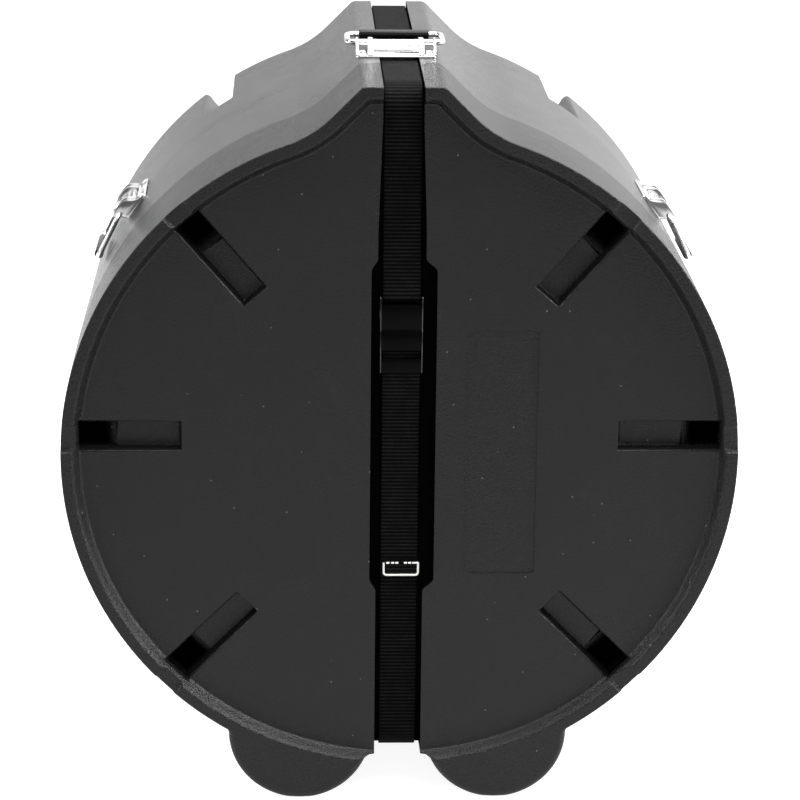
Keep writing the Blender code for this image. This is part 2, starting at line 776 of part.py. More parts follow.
def make_base(word, frame, group, tools):
    """Pressed base with two hinge cheeks."""
    name = "handle_base_" + word
    low = (-base_half_width, -base_half_length, seat_gap)
    high = (base_half_width, base_half_length, seat_gap + base_thickness)
    mesh = box_mesh(name, low, high)
    mesh.transform(frame)
    thing = add_object(name, mesh, group)
    root = seat_gap + base_thickness / 2
    profile = [(base_length * share[0] - base_half_length,
                root + (cheek_height - root) * share[1]) for share in cheek_profile_shares]
    turn = Matrix(((0, 0, 1, 0), (1, 0, 0, 0), (0, 1, 0, 0), (0, 0, 0, 1)))
    for side in (1, -1):
        for index, span in enumerate(cheek_spans):
            middle = side * (span[0] + span[1]) / 2
            label = name + "_cheek_" + str(index) + str(side)
            cheek = plate_mesh(label, [profile], (span[1] - span[0]) / 2,
                               frame @ Matrix.Translation((middle, 0.0, 0.0)) @ turn)
            put_union(thing, cheek, tools)
    hole = rod_mesh(name + "_bore", (-base_half_width, hinge_along, hinge_height),
                    (base_half_width, hinge_along, hinge_height),
                    (wire_radius + wire_clearance) / math.cos(math.pi / bore_steps),
                    bore_steps)
    hole.transform(frame)
    put_cut(thing, hole, tools)
    for index, spot in enumerate(rivet_places()):
        hole = rod_mesh(name + "_hole" + str(index), (spot[0], spot[1], -overrun),
                        (spot[0], spot[1], overrun),
                        rivet_shank_radius + seat_gap, rivet_steps)
        hole.transform(frame)
        put_cut(thing, hole, tools)
    return thing


def bail_frame(frame, rise):
    """Frame at the hinge, turned so that its second axis points to the grip."""
    tilt = math.asin((rise - hinge_height) / arm_length)
    place = Matrix.Translation((0.0, hinge_along, hinge_height))
    return frame @ place @ Matrix.Rotation(tilt, 4, "X")


def make_bail(word, frame, rise, group):
    """Closed wire loop that turns in the cheeks."""
    name = "handle_bail_" + word
    corner = wire_corner
    wide, far = wire_half_width, arm_length
    path = arc(wide - corner, corner, corner, 270.0, 360.0, wire_steps)
    path += arc(wide - corner, far - corner, corner, 0.0, 90.0, wire_steps)
    path += [(-x, y) for x, y in reversed(path)]
    curve = bpy.data.curves.new(name, "CURVE")
    curve.dimensions = "3D"
    curve.bevel_depth = wire_radius
    curve.bevel_resolution = 1
    spline = curve.splines.new("POLY")
    spline.points.add(len(path) - 1)
    for point, place in zip(spline.points, path):
        point.co = (place[0], place[1], 0.0, 1.0)
    spline.use_cyclic_u = True
    holder = bpy.data.objects.new(name, curve)
    bpy.context.scene.collection.objects.link(holder)
    graph = bpy.context.evaluated_depsgraph_get()
    mesh = bpy.data.meshes.new_from_object(holder.evaluated_get(graph))
    bpy.data.objects.remove(holder, do_unlink=True)
    bpy.data.curves.remove(curve)
    mesh.name = name
    for face in mesh.polygons:
        face.use_smooth = True
    thing = add_object(name, mesh, group)
    thing.matrix_world = bail_frame(frame, rise)
    return thing


def make_grip(word, frame, rise, group, tools):
    """Round sleeve on the far side of the wire loop."""
    name = "handle_grip_" + word
    mesh = rod_mesh(name, (-grip_half_length, 0.0, 0.0), (grip_half_length, 0.0, 0.0),
                    grip_radius, bore_steps)
    thing = add_object(name, mesh, group)
    place = bail_frame(frame, rise) @ Matrix.Translation((0.0, arm_length, 0.0))
    bore = rod_mesh(name + "_bore", (-grip_half_length - overrun, 0.0, 0.0),
                    (grip_half_length + overrun, 0.0, 0.0),
                    (wire_radius + wire_clearance) / math.cos(math.pi / bore_steps),
                    bore_steps)
    cutter = make_cutter(add_object(name + "_bore", bore, tools))
    boolean(thing, cutter, "DIFFERENCE")
    thing.matrix_world = place
    cutter.matrix_world = place
    return thing


def inner_face(word, spot):
    """Height of the wall's inner face under the tail of a rivet."""
    if word == "top":
        crest, start = crest_corner(wall)
        reach = max(abs(top_handle_shift) + rivet_across + rivet_tail_radius - start, 0.0)
        return math.sqrt(crest ** 2 - reach ** 2) - crest - wall
    reach = abs(spot[1]) + rivet_tail_radius
    flat = (body_radius - wall) * math.cos(math.pi / circle_steps)
    return math.sqrt(flat ** 2 - reach ** 2) - body_radius


def make_rivet(name, word, frame, spot, group):
    """Turned rivet with a domed head, a shank and a closed tail."""
    top = seat_gap + base_thickness + seat_gap
    tail = inner_face(word, spot) - seat_gap
    head = rivet_head_radius
    profile = [(head * share[0], top + rivet_head_height * share[1])
               for share in rivet_head_shares]
    profile += [(head, top), (rivet_shank_radius, top), (rivet_shank_radius, tail),
               (rivet_tail_radius, tail), (rivet_tail_radius, tail - rivet_tail_height),
               (0.0, tail - rivet_tail_height)]
    mesh = bpy.data.meshes.new(name)
    work = bmesh.new()
    verts = [work.verts.new((x, 0.0, z)) for x, z in profile]
    for pair in zip(verts, verts[1:]):
        work.edges.new(pair)
    work.to_mesh(mesh)
    work.free()
    thing = add_object(name, mesh, group)
    turn = thing.modifiers.new("turn", "SCREW")
    turn.axis = "Z"
    turn.steps = rivet_steps
    turn.render_steps = rivet_steps
    turn.use_merge_vertices = True
    turn.merge_threshold = weld_distance
    turn.use_smooth_shade = False
    thing.matrix_world = frame @ Matrix.Translation((spot[0], spot[1], 0.0))
    return thing


def main():
    clear_scene()
    group = bpy.data.collections.new(case_parts)
    tools = bpy.data.collections.new("tools")
    bpy.context.scene.collection.children.link(group)
    bpy.context.scene.collection.children.link(tools)
    shell = make_material("shell_plastic", (0.035, 0.035, 0.037), 0.55, 0.0)
    webbing = make_material("webbing", (0.012, 0.012, 0.013), 0.8, 0.0)
    buckle = make_material("buckle_plastic", (0.01, 0.01, 0.01), 0.35, 0.0)
    chrome = make_material("chrome", (0.8, 0.8, 0.82), 0.12, 1.0)
    rubber = make_material("grip_sleeve", (0.015, 0.015, 0.015), 0.5, 0.0)

    make_front_shell(group, tools).data.materials.append(shell)
    make_rear_shell(group, tools).data.materials.append(shell)
    for thing in make_straps(group):
        thing.data.materials.append(webbing)
    make_socket(group, tools).data.materials.append(buckle)
    make_plug(group, tools).data.materials.append(buckle)
    for side, word in ((1, "right"), (-1, "left")):
        make_prong(side, word, group).data.materials.append(buckle)
    for word, frame in handle_frames().items():
        rise = grip_rise if word == "top" else side_grip_rise
        make_base(word, frame, group, tools).data.materials.append(chrome)
        make_bail(word, frame, rise, group).data.materials.append(chrome)
        make_grip(word, frame, rise, group, tools).data.materials.append(rubber)
        for index, spot in enumerate(rivet_places()):
            name = "rivet_" + word + "_" + str(index + 1)
            make_rivet(name, word, frame, spot, group).data.materials.append(chrome)
    bpy.context.view_layer.update()


main()
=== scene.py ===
"""Drum case on its rim: soft edged moulded shells, webbing with a side release buckle and
chrome folding handles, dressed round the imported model.
Units are metres, +Z is up, the lid faces -Y and the feet stand on Z = 0."""

import math

import bmesh
import bpy
from bpy.props import FloatProperty, FloatVectorProperty, IntProperty, PointerProperty
from mathutils import Matrix, Vector


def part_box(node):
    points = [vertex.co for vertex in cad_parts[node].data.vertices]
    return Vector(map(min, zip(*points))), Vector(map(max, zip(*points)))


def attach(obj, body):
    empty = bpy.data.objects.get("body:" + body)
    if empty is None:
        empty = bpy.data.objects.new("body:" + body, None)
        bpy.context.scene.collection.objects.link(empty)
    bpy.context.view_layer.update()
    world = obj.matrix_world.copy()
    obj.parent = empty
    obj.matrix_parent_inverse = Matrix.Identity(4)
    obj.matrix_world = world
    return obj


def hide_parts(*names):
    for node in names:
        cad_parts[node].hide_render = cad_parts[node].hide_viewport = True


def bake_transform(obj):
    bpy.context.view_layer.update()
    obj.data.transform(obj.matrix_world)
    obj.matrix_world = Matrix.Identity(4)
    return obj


bl_info = {
    "name": "Drum case",
    "version": (1, 0, 0),
    "blender": (4, 5, 0),
    "location": "3D View > Sidebar > Drum case",
    "description": "Builds a moulded drum case with strap, buckle and folding handles",
    "category": "Object",
}

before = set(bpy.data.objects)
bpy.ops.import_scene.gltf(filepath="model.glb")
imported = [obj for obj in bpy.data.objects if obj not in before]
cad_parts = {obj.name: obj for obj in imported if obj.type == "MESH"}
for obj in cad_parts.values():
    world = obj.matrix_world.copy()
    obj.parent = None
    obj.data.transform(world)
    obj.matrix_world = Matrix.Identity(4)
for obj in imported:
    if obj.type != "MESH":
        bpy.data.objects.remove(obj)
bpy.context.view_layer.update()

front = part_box("front_shell")[0].y
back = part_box("rear_shell")[1].y
parting = front + 0.130
seat_gap = 0.0003
overrun = 0.006
weld = 0.00001


def length(name, description, default):
    """A property in metres."""
    return FloatProperty(name=name, description=description, default=default, unit="LENGTH",
                         precision=5)


def colour(name, description, default):
    """A colour property."""
    return FloatVectorProperty(name=name, description=description, default=default,
                               subtype="COLOR", size=3, min=0.0, max=1.0)


def count(name, description, default):
    """A whole number property."""
    return IntProperty(name=name, description=description, default=default, min=1)


class CaseSizes(bpy.types.PropertyGroup):
    """Sizes of the two moulded shells, measured from the axis of the round body."""
    centre_height: length("Centre height", "Axis of the round body above the floor", 0.373)
    body_radius: length("Body radius", "Radius of the round body", 0.345)
    ridge_top: length("Ridge top", "Height of the ridge", 0.383)
    ramp_line: length("Ramp line", "Ridge's ramps from the axis", 0.2998)
    ramp_fillet: length("Ramp fillet", "Radius between ramp and round body", 0.116)
    crest_round: length("Crest round", "Radius at the top of the ramps", 0.010)
    foot_radius: length("Foot radius", "Radius of the half round feet", 0.075)
    foot_offset: length("Foot offset", "Feet sideways from the middle", 0.102)
    foot_drop: length("Foot drop", "Centre of the feet below the axis", 0.300)
    foot_round: length("Foot rounding", "Rounded front and rear edge of the feet", 0.008)
    foot_inner_fillet: length("Foot inner fillet", "Hollow beside the channel", 0.007)
    foot_outer_fillet: length("Foot outer fillet", "Hollow between foot and body", 0.010)
    rim_round: length("Rim rounding", "Rounded outer edge of the rim", 0.0018)
    lid_draft: length("Lid draft", "How much the lid narrows to its rim", 0.0010)
    face_recess: length("Face recess", "Lid face behind the rim", 0.013)
    rear_recess: length("Rear recess", "Rear face behind the rim", 0.008)
    wall: length("Wall", "Thickness of the moulding", 0.004)
    edge_round: length("Edge rounding", "Soft edge of the moulding", 0.0006)
    channel_half: length("Channel half width", "Half width of the strap channel", 0.024)
    channel_narrow: length("Channel narrow half", "Half width along the ridge", 0.0202)
    narrow_start: length("Narrowing start", "Where the channel starts to narrow", 0.235)
    narrow_end: length("Narrowing end", "Where the channel is at its narrowest", 0.345)
    channel_depth: length("Channel depth", "Depth of the strap channel", 0.025)
    channel_rear: length("Rear channel depth", "Depth of the channel behind", 0.0085)
    channel_low: length("Channel low", "Channel floor below the axis", 0.327)
    channel_top: length("Channel top", "Channel floor above the axis", 0.378)
    channel_corner: length("Channel corner", "Corner radius of the channel's floor", 0.025)
    rear_corner: length("Rear corner", "Corner radius of the floor behind", 0.010)
    pocket_half: length("Pocket half width", "Half width round the buckle", 0.033)
    pocket_shift: length("Pocket shift", "Pocket sideways", 0.0025)
    pocket_bottom: length("Pocket bottom", "Lower end of the pocket", -0.147)
    pocket_top: length("Pocket top", "Upper end of the pocket", 0.207)
    pocket_run: length("Pocket run-in", "Where the pocket widens to its full width", 0.014)
    tongue_reach: length("Tongue reach", "Tongue ahead of the parting", 0.028)
    tongue_flange: length("Tongue flange", "Flange behind the parting", 0.005)
    tongue_clearance: length("Tongue clearance", "Play round the tongue", 0.0008)
    circle_steps: count("Circle steps", "Edges round a whole circle", 232)


class SlotSizes(bpy.types.PropertyGroup):
    """Sizes of the lid's radial slots, the rear notches and the name plate recess."""
    half: length("Slot half width", "Half width of a slot", 0.015)
    lip: length("Slot lip", "Rounded mouth of a slot", 0.0022)
    inner: length("Slot inner end", "Inner end of a slot", 0.2225)
    roll: length("Slot roll", "Where the floor starts to fall", 0.286)
    fall: length("Slot fall", "Inner wall of the pit", 0.300)
    outer: length("Slot outer end", "Outer wall of the pit", 0.3265)
    depth: length("Slot depth", "Floor behind the rim", 0.026)
    pit: length("Pit depth", "Bottom of the pit behind the rim", 0.053)
    dent: length("Dent depth", "How far the bead is flattened", 0.004)
    side_rise: length("Side slot rise", "Side slots above the axis", 0.0215)
    notch_half: length("Notch half width", "Half width of a rear notch", 0.0165)
    notch_floor: length("Notch floor", "Floor of a rear notch", 0.318)
    notch_length: length("Notch length", "Length of a rear notch", 0.140)
    plate_left: length("Plate left", "Left edge of the plate recess", 0.066)
    plate_right: length("Plate right", "Right edge of the plate recess", 0.139)
    plate_low: length("Plate low", "Lower edge of the plate recess", -0.127)
    plate_high: length("Plate high", "Upper edge of the plate recess", 0.133)
    plate_depth: length("Plate depth", "Depth of the plate recess", 0.0016)
    plate_corner: length("Plate corner", "Corner radius of the plate recess", 0.004)


class StrapSizes(bpy.types.PropertyGroup):
    """Sizes of the webbing."""
    width: length("Width", "Width of the webbing", 0.038)
    thickness: length("Thickness", "Thickness of the webbing", 0.002)
    tail_end: length("Tail end", "End of the loose tail", -0.1315)
    tab_height: length("Tab height", "Height of the stitched tab", 0.0165)
    tab_thickness: length("Tab thickness", "Thickness of the stitched tab", 0.0022)
    tab_shift: length("Tab shift", "Tab off the middle", 0.002)
    sewn_return: length("Sewn return", "Length sewn back above the bar", 0.026)
    ease: length("Ease", "Length in which the webbing changes its depth", 0.012)
    border_inset: length("Border inset", "Border thread inside the tab's edge", 0.0012)
    border_radius: length("Border radius", "Radius of the border thread", 0.0011)
    border_corner: length("Border corner", "Corner radius of the border thread", 0.003)
    stitch_radius: length("Stitch radius", "Radius of the short stitches", 0.0010)


class BuckleSizes(bpy.types.PropertyGroup):
    """Sizes of the buckle, heights above the axis of the round body."""
    half: length("Half width", "Half width of the buckle", 0.0222)
    rail_inner: length("Rail inner side", "Inner side of the rails", 0.0194)
    face: length("Front face", "Front of the buckle behind the rim", 0.0118)
    bar_radius: length("Bar radius", "Radius of the webbing bars", 0.002)
    socket_bar: length("Socket bar", "Height of the upper bar", 0.165)
    block_top: length("Block top", "Top of the socket's block", 0.158)
    mouth: length("Mouth", "Lower end of the socket", 0.133)
    shoulder: length("Shoulder", "Lower end of the plug's block", 0.1115)
    plug_bar: length("Plug bar", "Height of the lower bar", 0.107)
    end_high: length("End bar high", "Upper edge of the end bar", 0.103)
    end_low: length("End bar low", "Lower edge of the end bar", 0.088)
    throat_half: length("Throat half width", "Half width of the throat", 0.0172)
    throat_wall: length("Throat wall", "Wall before and behind the throat", 0.002)
    throat_top: length("Throat top", "Top of the throat", 0.1565)
    window_low: length("Window low", "Lower edge of the side windows", 0.139)
    window_high: length("Window high", "Upper edge of the side windows", 0.152)
    prong_thickness: length("Prong thickness", "Thickness of a prong", 0.0042)
    prong_tip: length("Prong tip", "Tip of the prongs", 0.155)
    prong_root: length("Prong root", "Depth of a prong's seat", 0.006)
    prong_swing: length("Prong swing", "Room for a prong", 0.0008)
    guide_half: length("Guide half width", "Half width of the guide", 0.003)
    corner: length("Corner", "Rounded corners of the buckle", 0.003)
    soft_edge: length("Soft edge", "Rounding of the small edges", 0.0005)
    prong_edge: length("Prong edge", "Rounding of a prong's edges", 0.0004)
    glint: length("Glint", "Polished strip at the sides", 0.0017)


class HandleSizes(bpy.types.PropertyGroup):
    """Sizes of the folding handles, X along the hinge, Y to the grip, Z outwards."""
    front_edge: length("Top handle front", "Top base behind the lid's rim", 0.158)
    top_shift: length("Top handle shift", "Top handle sideways", -0.003)
    side_front_edge: length("Side handle front", "Side base behind the lid's rim", 0.240)
    side_angle: FloatProperty(name="Side angle", description="Side handles above the axis",
                              default=math.radians(36.8), unit="ROTATION")
    base_half_width: length("Base half width", "Half width of the base", 0.0415)
    base_half_length: length("Base half length", "Half length of the base", 0.0165)
    base_thickness: length("Base thickness", "Sheet of the base", 0.002)
    inner_cheek: length("Inner cheek", "Middle of the inner cheeks", 0.02625)
    inner_sheet: length("Inner cheek width", "Width of an inner cheek", 0.0055)
    outer_cheek: length("Outer cheek", "Middle of the outer cheeks", 0.04005)
    outer_sheet: length("Outer cheek width", "Width of an outer cheek", 0.0025)
    cheek_height: length("Cheek height", "Height of a cheek", 0.016)
    hinge_along: length("Hinge along", "Hinge towards the grip", 0.018)
    hinge_height: length("Hinge height", "Hinge above the wall", 0.0105)
    wire_radius: length("Wire radius", "Radius of the wire", 0.003)
    arm: length("Arm", "Hinge to grip", 0.050)
    wire_half_width: length("Wire half width", "Half width of the bail", 0.0495)
    wire_corner: length("Wire corner", "Corner radius of the bail", 0.008)
    grip_radius: length("Grip radius", "Radius of the sleeve", 0.0048)
    grip_half_length: length("Grip half length", "Half length of the sleeve", 0.037)
    grip_rise: length("Grip rise", "Folded grip above the ridge", 0.0105)
    side_grip_rise: length("Side grip rise", "Folded side grips above the wall", 0.0015)
    plate_corner: length("Plate corner", "Corner radius of the base", 0.004)
    plate_edge: length("Plate edge", "Rounded upper edge of the base", 0.0008)
    cheek_edge: length("Cheek edge", "Rounded edge of a cheek", 0.0007)
    sleeve_edge: length("Sleeve edge", "Rolled end of the sleeve", 0.0009)
    sleeve_play: length("Sleeve play", "Play between wire and sleeve", 0.0003)
    bore_play: length("Bore play", "Play between wire and cheek", 0.0002)
    rivet_across: length("Rivet across", "Rivets sideways", 0.0345)
    rivet_low: length("Rivet low", "Near rivets along the base", -0.0105)
    rivet_high: length("Rivet high", "Far rivets along the base", 0.0045)
    rivet_head: length("Rivet head", "Radius of a head", 0.0036)
    rivet_rise: length("Rivet rise", "Height of a head", 0.0018)
    rivet_tail: length("Rivet tail", "Radius of the closed tail", 0.0031)
    rivet_shank: length("Rivet shank", "Radius of a shank", 0.0018)


class CaseColours(bpy.types.PropertyGroup):
    """Colours of the finishes."""
    shell: colour("Shell", "Moulded plastic", (0.0075, 0.0075, 0.0079))
    speck: colour("Speck", "Bright specks of the moulding", (0.22, 0.22, 0.22))
    webbing: colour("Webbing", "Webbing yarn", (0.0042, 0.0042, 0.0044))
    thread: colour("Thread", "Sewing thread", (0.80, 0.79, 0.76))
    buckle: colour("Buckle", "Buckle plastic", (0.0012, 0.0012, 0.0012))
    chrome: colour("Chrome", "Plated metal", (0.86, 0.86, 0.87))
    sleeve: colour("Sleeve", "Grip sleeve", (0.003, 0.003, 0.003))
    floor: colour("Floor", "Studio floor", (0.45, 0.45, 0.45))


def sizes(group):
    """One of the scene's groups of sizes: case, slot, strap, buckle or handle."""
    return getattr(bpy.context.scene, group + "_sizes")


# Modelling in edit mode

def put_down():
    """Leave edit mode with nothing selected."""
    if bpy.context.mode != "OBJECT":
        bpy.ops.object.mode_set(mode="OBJECT")
    bpy.ops.object.select_all(action="DESELECT")


def pick(piece):
    """Select one object and make it active."""
    put_down()
    piece.select_set(True)
    bpy.context.view_layer.objects.active = piece


def named(name):
    """Name the object that was just added."""
    piece = bpy.context.object
    piece.name = piece.data.name = name
    return piece


def open_edit(piece, kind, wanted):
    """Open edit mode with only the wanted faces, edges or points selected."""
    pick(piece)
    bpy.ops.object.mode_set(mode="EDIT")
    bpy.ops.mesh.select_mode(type=kind)
    bpy.ops.mesh.select_all(action="DESELECT")
    mesh = bmesh.from_edit_mesh(piece.data)
    mesh.normal_update()
    items = {"FACE": mesh.faces, "EDGE": mesh.edges, "VERT": mesh.verts}[kind]
    for item in items:
        if wanted(item):
            item.select_set(True)
    mesh.select_flush_mode()
    bmesh.update_edit_mesh(piece.data)


def middle(edge):
    """Middle of an edge."""
    return (edge.verts[0].co + edge.verts[1].co) / 2


def runs(edge, axis):
    """True for an edge along X, Y or Z, given as 0, 1 or 2."""
    way = edge.verts[1].co - edge.verts[0].co
    return way.length > 0 and abs(way[axis]) > 0.999 * way.length


def skin_x(name, profile, ends):
    """Closed skin between the same Y and Z outline at several X."""
    return skin(name, [[Vector((x, y, z)) for y, z in profile] for x in ends])


def face_outwards(piece):
    """Weld doubles and turn all faces outwards."""
    open_edit(piece, "FACE", lambda face: True)
    bpy.ops.mesh.remove_doubles(threshold=weld)
    bpy.ops.mesh.normals_make_consistent(inside=False)
    put_down()
    return piece


def settle(piece):
    """Put the object's place into its mesh."""
    pick(piece)
    bpy.ops.object.transform_apply(location=True, rotation=True, scale=True)
    return piece


def block(name, low, high):
    """Cube primitive between two corners."""
    put_down()
    low, high = Vector(low), Vector(high)
    bpy.ops.mesh.primitive_cube_add(size=1.0, location=(low + high) / 2)
    piece = named(name)
    piece.scale = high - low
    return settle(piece)


def skin(name, rings):
    """Closed skin over a stack of outlines: a filled circle is extruded once for each
    outline and laid on it."""
    put_down()
    bpy.ops.mesh.primitive_circle_add(vertices=len(rings[0]), fill_type="NGON")
    piece = named(name)
    spots = piece.data.attributes.new("spot", "INT", "POINT")
    spots.data.foreach_set("value", list(range(len(rings[0]))))
    bpy.ops.object.mode_set(mode="EDIT")
    bpy.ops.mesh.select_mode(type="FACE")
    bpy.ops.mesh.select_all(action="SELECT")
    for index, ring in enumerate(rings):
        if index > 0:
            bpy.ops.mesh.extrude_region_move()
        mesh = bmesh.from_edit_mesh(piece.data)
        layer = mesh.verts.layers.int["spot"]
        for vert in mesh.verts:
            if vert.select:
                vert.co = ring[vert[layer]]
        bmesh.update_edit_mesh(piece.data)
    bpy.ops.mesh.select_all(action="SELECT")
    bpy.ops.mesh.normals_make_consistent(inside=False)
    put_down()
    piece.data.attributes.remove(piece.data.attributes["spot"])
    return piece


def apply_step(piece, kind, **settings):
    """Add one modifier and apply it."""
    pick(piece)
    step = piece.modifiers.new(kind.lower(), kind)
    for key, value in settings.items():
        setattr(step, key, value)
    bpy.ops.object.modifier_apply(modifier=step.name)
    return piece


def combine(piece, tools, operation):
    """Exact booleans with tools that are used up."""
    for tool in tools:
        apply_step(piece, "BOOLEAN", operation=operation, solver="EXACT", object=tool)
        bpy.data.objects.remove(tool, do_unlink=True)
    return piece


def cut(piece, *tools):
    """Cut several tools out of a piece."""
    return combine(piece, tools, "DIFFERENCE")


def fuse(piece, *tools):
    """Join several tools to a piece."""
    return combine(piece, tools, "UNION")


def gather(name, pieces):
    """Join meshes that don't touch into one object."""
    pick(pieces[0])
    for piece in pieces[1:]:
        piece.select_set(True)
    bpy.ops.object.join()
    put_down()
    pieces[0].name = pieces[0].data.name = name
    return pieces[0]


def round_edges(piece, radius, steps, wanted):
    """Bevel the wanted edges in edit mode."""
    open_edit(piece, "EDGE", wanted)
    bpy.ops.mesh.bevel(offset=radius, segments=steps, profile=0.5, clamp_overlap=False)
    put_down()
    return piece


def soften(piece, radius):
    """Round every sharp edge."""
    return apply_step(piece, "BEVEL", limit_method="ANGLE", angle_limit=math.radians(40.0),
                      width=radius, segments=2, use_clamp_overlap=False,
                      miter_outer="MITER_ARC", loop_slide=False)


def shade(piece, angle=35.0):
    """Smooth shading that keeps creases."""
    pick(piece)
    bpy.ops.object.shade_smooth_by_angle(angle=math.radians(angle))
    put_down()
    return piece


def tube(name, points, radius, resolution, closed=False):
    """Tube along points, in a closed loop or with filled ends."""
    line = bpy.data.curves.new(name, "CURVE")
    line.dimensions = "3D"
    line.bevel_depth = radius
    line.bevel_resolution = resolution
    line.use_fill_caps = not closed
    spline = line.splines.new("POLY")
    spline.points.add(len(points) - 1)
    for point, place in zip(spline.points, points):
        point.co = (*place, 1.0)
    spline.use_cyclic_u = closed
    piece = bpy.data.objects.new(name, line)
    bpy.context.scene.collection.objects.link(piece)
    pick(piece)
    bpy.ops.object.convert(target="MESH")
    return face_outwards(bpy.context.object)


def twin(piece, name, matrix):
    """Copy with its own mesh, put in place by a matrix."""
    copy = bpy.data.objects.new(name, piece.data.copy())
    copy.data.name = name
    bpy.context.scene.collection.objects.link(copy)
    copy.data.transform(matrix)
    if matrix.determinant() < 0:
        copy.data.flip_normals()
    return copy


def dress(piece, finish, body, slot, *nodes):
    """Give a piece its finish and its body, and hide the imported nodes that it stands for."""
    piece.data.materials.clear()
    piece.data.materials.append(finish)
    if body:
        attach(piece, body)
    if nodes:
        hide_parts(*nodes)
    return piece


# Outlines

def arc(centre_x, centre_y, radius, start, end, steps):
    """Points of an arc, angles in degrees."""
    points = []
    for index in range(steps + 1):
        angle = math.radians(start + (end - start) * index / steps)
        points.append((centre_x + radius * math.cos(angle),
                       centre_y + radius * math.sin(angle)))
    return points


def ridge_side(inset):
    """Where the ridge's fillet begins, and its points up to the middle of the ridge."""
    case = sizes("case")
    radius, line = case.body_radius - inset, case.ramp_line - inset
    fillet = case.ramp_fillet + inset
    reach = math.sqrt((radius + fillet) ** 2 - (line + fillet) ** 2)
    half = math.sqrt(0.5)
    fillet_x, fillet_z = (line + fillet - reach) * half, (line + fillet + reach) * half
    junction = math.degrees(math.atan2(fillet_z, fillet_x))
    crest = max(case.crest_round - inset, case.crest_round / 4)
    crest_z = case.ridge_top - inset - crest
    crest_x = (line - crest) * math.sqrt(2) - crest_z
    points = arc(fillet_x, fillet_z, fillet, junction + 180.0, 225.0, 14)[1:]
    return junction, points + arc(crest_x, crest_z, crest, 45.0, 90.0, 8)


def mirrored(right):
    """Outline from its right half."""
    return right + [(-x, z) for x, z in reversed(right)]


def body_outline(inset):
    """Outline of the round body with the ridge on top, moved inwards by inset."""
    case = sizes("case")
    junction, ridge = ridge_side(inset)
    steps = round(case.circle_steps * 0.45)
    right = arc(0.0, 0.0, case.body_radius - inset, -89.7, junction, steps)
    return mirrored(right + ridge)


def case_outline(inset, foot_inset=0.0):
    """Outline of body, ridge and feet with hollow fillets, moved inwards by inset."""
    case = sizes("case")
    radius, foot = case.body_radius - inset, case.foot_radius - inset - foot_inset
    inner, outer = case.foot_inner_fillet + inset, case.foot_outer_fillet + inset
    low = case.channel_low + seat_gap - inset
    centre = Vector((case.foot_offset, -case.foot_drop))
    near_z = -low - inner
    near_x = centre.x - math.sqrt((foot + inner) ** 2 - (near_z - centre.y) ** 2)
    start = math.degrees(math.atan2(near_z - centre.y, near_x - centre.x)) % 360.0
    far, close = radius + outer, foot + outer
    run = (far ** 2 - close ** 2 + centre.length_squared) / (2 * centre.length)
    side = Vector((-centre.y, centre.x)) / centre.length
    hollow = centre.normalized() * run + side * math.sqrt(far ** 2 - run ** 2)
    stop = math.degrees(math.atan2(hollow.y - centre.y, hollow.x - centre.x))
    begin = math.degrees(math.atan2(hollow.y, hollow.x))
    right = arc(near_x, near_z, inner, 90.0, start - 180.0, 6)
    tread = -case.centre_height + inset
    right += [(x, max(z, tread)) for x, z in
              arc(centre.x, centre.y, foot, start, stop + 360.0, 52)[1:]]
    right += arc(hollow.x, hollow.y, outer, stop + 180.0, begin + 180.0, 8)[1:]
    junction, ridge = ridge_side(inset)
    right += arc(0.0, 0.0, radius, begin, junction, round(case.circle_steps * 0.35))[1:]
    return mirrored(right + ridge)


def upright(outline, depth):
    """Ring of an X and Z outline at a depth."""
    height = sizes("case").centre_height
    return [Vector((x, depth, z + height)) for x, z in outline]


def outward(angle, rise):
    """Frame with its first axis outwards at an angle, second along Y, third across."""
    case = sizes("case")
    out = Vector((math.cos(math.radians(angle)), 0.0, math.sin(math.radians(angle))))
    deep = Vector((0.0, 1.0, 0.0))
    turn = Matrix((out, deep, out.cross(deep))).transposed().to_4x4()
    return Matrix.Translation((0.0, 0.0, case.centre_height + rise)) @ turn


def six_places(upper, rise, lower):
    """Directions in degrees and heights of an upper, a side and a lower pair."""
    return ((upper, 0.0), (180.0 - upper, 0.0), (0.0, rise), (180.0, rise), (lower, 0.0),
            (-180.0 - lower, 0.0))


def slot_places():
    """Directions and heights of the six slots of the lid."""
    rise = sizes("slot").side_rise
    return six_places(48.8, rise, -45.3)


def notch_places():
    """Directions and heights of the six notches at the rear rim."""
    rise = sizes("slot").side_rise
    return six_places(55.8, rise, -48.0)


# Shells

# Inner slope of the rim as shares of the face's recess: inset and depth
slope_shares = ((0.84, -0.03), (0.91, 0.006), (0.98, 0.045), (1.06, 0.12), (1.15, 0.25),
                (1.25, 0.42), (1.35, 0.61), (1.44, 0.79), (1.53, 0.92), (1.595, 0.985),
                (1.66, 1.0))


def pulled(radius, depth):
    """How far a rounded edge stands back at a depth."""
    rest = max(radius - depth, 0.0)
    return radius - math.sqrt(radius ** 2 - rest ** 2)


def shell_blank(name, edge, rim, way, recess):
    """Outer solid of one half from its parting edge to its rim, with the rim's inner
    slope and the face; way is 1 or -1 in Y."""
    case = sizes("case")
    draft = case.lid_draft if way < 0 else 0.0
    rings = [upright(case_outline(0.0), edge)]
    for depth in (0.008, 0.0058, 0.0040, 0.0027, 0.0018, 0.0010, 0.0004, 0.0):
        back_off = draft + pulled(case.rim_round, depth)
        foot_back = draft + pulled(case.foot_round, depth)
        rings.append(upright(case_outline(back_off, foot_back - back_off), rim - way * depth))
    blank = skin(name, rings)
    rings = [upright(body_outline(recess * inset), rim - way * recess * depth)
             for inset, depth in slope_shares]
    return cut(blank, skin("face", rings))


